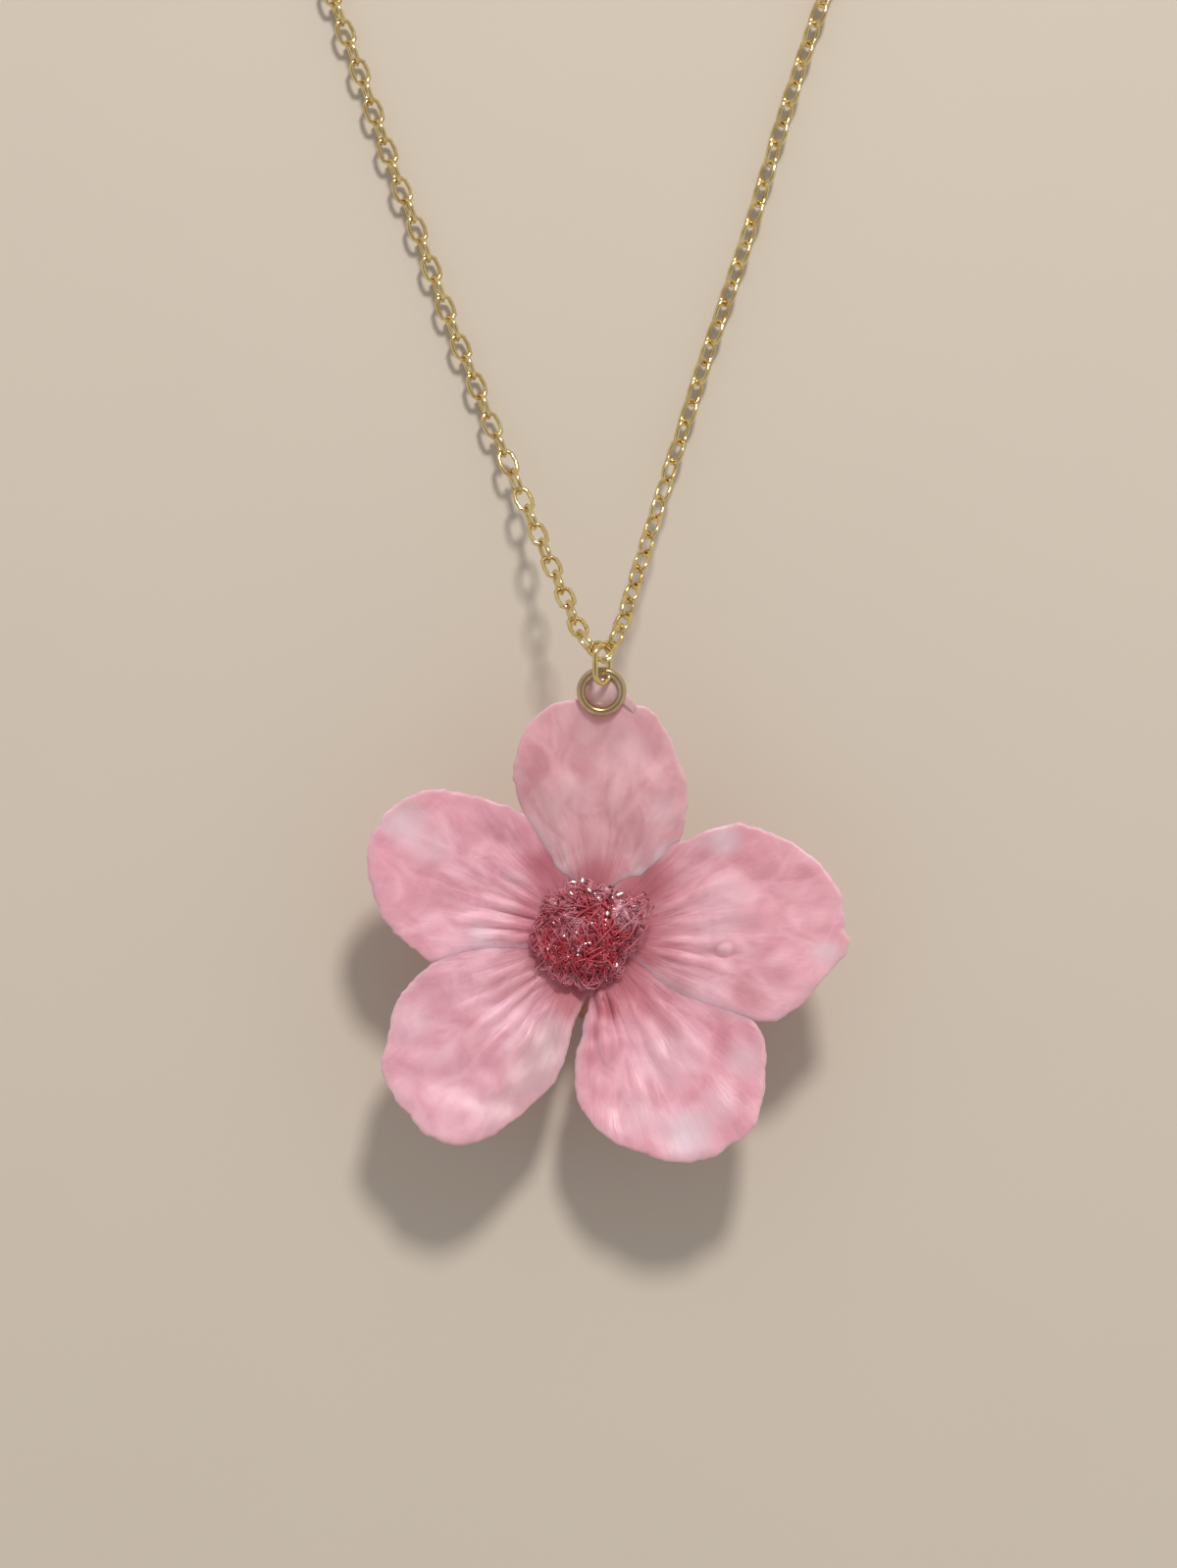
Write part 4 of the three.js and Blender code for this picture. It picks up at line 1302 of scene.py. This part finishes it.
class BLOSSOM_OT_resin(bpy.types.Operator):
    """Make the clear coat's beads on the stamens, its film in the ring and its web beside it"""

    bl_idname = "blossom.resin"
    bl_label = "Clear coat"

    def execute(self, context):
        clear = resin_material()
        halfway = (KEY_DIRECTION.normalized() + Vector((0, 0, 1))).normalized()
        lean = halfway.to_track_quat("Z", "Y").to_matrix().to_4x4()
        bm = bmesh.new()
        for x, y, wide, tall, turn in BEADS:
            made = bmesh.ops.create_icosphere(bm, subdivisions=3, radius=1)
            matrix = Matrix.Translation(place(x, y, knot_height(x, y) + BEAD_LIFT)) @ lean
            matrix = matrix @ Matrix.Rotation(math.radians(turn), 4, "Z")
            thick = BEAD_FLATNESS * min(wide, tall)
            matrix = matrix @ Matrix.Diagonal((wide * MM, tall * MM, thick * MM, 1.0))
            bmesh.ops.transform(bm, verts=made["verts"], matrix=matrix)
        new_object("coat_beads", mesh_from(bm, "coat_beads"), clear)

        film = film_material()
        bm = bmesh.new()
        bmesh.ops.create_circle(bm, cap_ends=True, segments=64, radius=FILM_RADIUS * MM)
        bmesh.ops.inset_region(bm, faces=bm.faces[:], thickness=0.25 * MM)
        tilt = Matrix.Rotation(math.radians(RING_TILT), 4, "X")
        bmesh.ops.solidify(bm, geom=bm.faces[:], thickness=FILM_THICKNESS * MM)
        centred = Matrix.Translation(place(*RING_CENTRE))
        bmesh.ops.transform(bm, verts=bm.verts, matrix=centred @ tilt)
        new_object("ring_film", mesh_from(bm, "ring_film"), film)

        bm = bmesh.new()
        middle_x, middle_y, middle_z = WEB_CENTRE
        for vert in bmesh.ops.create_icosphere(bm, subdivisions=5, radius=1)["verts"]:
            side, out, up = vert.co
            reach = 1.0 - 0.35 * abs(side)
            swell = noise.noise(Vector((side * 1.7, out * 1.7, 4)))
            x = middle_x + 0.5 * side - 0.6 * out
            y = middle_y + (0.95 * reach + 0.1 * swell) * out
            vert.co = place(x, y, middle_z + 0.2 * up + 0.15 * out)
        new_object("ring_web", mesh_from(bm, "ring_web"), film)
        return {"FINISHED"}


# ---- Stage ----


class BLOSSOM_OT_stage(bpy.types.Operator):
    """Make the floor, the lights, the even surroundings and the camera"""

    bl_idname = "blossom.stage"
    bl_label = "Stage"

    def execute(self, context):
        settings = context.scene.blossom_stage
        scene = context.scene
        camera = bpy.data.objects.new("camera", bpy.data.cameras.new("camera"))
        camera.data.sensor_width = 36
        camera.data.lens = CAMERA_LENS
        camera.data.clip_start = 0.01
        camera.data.clip_end = 10
        camera.location = place(*CAMERA_PLACE)
        scene.collection.objects.link(camera)
        scene.camera = camera

        bm = bmesh.new()
        bmesh.ops.create_grid(bm, x_segments=2, y_segments=2, size=FLOOR_HALF_SIZE)
        floor = bpy.data.objects.new("floor", mesh_from(bm, "floor"))
        floor.location = (0, 0, -FLOOR_DROP)
        scene.collection.objects.link(floor)
        floor.data.materials.append(floor_material(settings.floor))

        key = bpy.data.lights.new("key", "AREA")
        key.shape = "DISK"
        key.size = KEY_DIAMETER
        key.energy = settings.key_power
        key.color = (1.0, 0.97, 0.93)
        lamp = bpy.data.objects.new("key", key)
        away = KEY_DIRECTION.normalized()
        lamp.location = place(0, 0, 8) + away * KEY_DISTANCE
        lamp.rotation_euler = away.to_track_quat("Z", "Y").to_euler()
        scene.collection.objects.link(lamp)

        world = bpy.data.worlds.new("surroundings")
        scene.world = world
        world.use_nodes = True
        tree = world.node_tree
        background = tree.nodes["Background"]
        direction = add_node(tree, "TexCoord").outputs["Generated"]
        parts = add_node(tree, "SeparateXYZ")
        tree.links.new(direction, parts.inputs[0])
        overhead = ranged(tree, parts.outputs["Z"], 0.72, 0.97)
        tint = mixed(tree, overhead, (1.0, 0.98, 0.97, 1.0), (0.42, 0.40, 0.39, 1.0))
        tree.links.new(tint, background.inputs["Color"])
        background.inputs["Strength"].default_value = settings.world_strength
        scene.view_settings.view_transform = "Standard"
        return {"FINISHED"}


# ---- Panel and running ----


OPERATORS = (
    BLOSSOM_OT_stage,
    BLOSSOM_OT_chain,
    BLOSSOM_OT_ring,
    BLOSSOM_OT_petals,
    BLOSSOM_OT_stamens,
    BLOSSOM_OT_calyx,
    BLOSSOM_OT_resin,
)
GROUPS = {
    "blossom_petals": PetalSettings,
    "blossom_stamens": StamenSettings,
    "blossom_metal": MetalSettings,
    "blossom_stage": StageSettings,
}


class BLOSSOM_PT_panel(bpy.types.Panel):
    """Lists the blossom's pieces and their settings"""

    bl_label = "Cherry Blossom Pendant"
    bl_idname = "BLOSSOM_PT_panel"
    bl_space_type = "VIEW_3D"
    bl_region_type = "UI"
    bl_category = "Blossom"

    def draw(self, context):
        for name, group in GROUPS.items():
            settings = getattr(context.scene, name)
            box = self.layout.box()
            for key in group.__annotations__:
                box.prop(settings, key)
        for operator in OPERATORS:
            self.layout.operator(operator.bl_idname)


def register():
    """Registers the classes and gives the scene its settings."""
    for group in GROUPS.values():
        bpy.utils.register_class(group)
    for operator in OPERATORS:
        bpy.utils.register_class(operator)
    bpy.utils.register_class(BLOSSOM_PT_panel)
    for name, group in GROUPS.items():
        setattr(bpy.types.Scene, name, bpy.props.PointerProperty(type=group))


def unregister():
    """Takes the settings and the classes away again."""
    for name in GROUPS:
        delattr(bpy.types.Scene, name)
    bpy.utils.unregister_class(BLOSSOM_PT_panel)
    for operator in reversed(OPERATORS):
        bpy.utils.unregister_class(operator)
    for group in GROUPS.values():
        bpy.utils.unregister_class(group)


def main():
    """Makes every piece."""
    register()
    bpy.ops.blossom.stage()
    bpy.ops.blossom.chain()
    bpy.ops.blossom.ring()
    bpy.ops.blossom.petals()
    bpy.ops.blossom.stamens()
    bpy.ops.blossom.calyx()
    bpy.ops.blossom.resin()


if __name__ == "__main__":
    main()
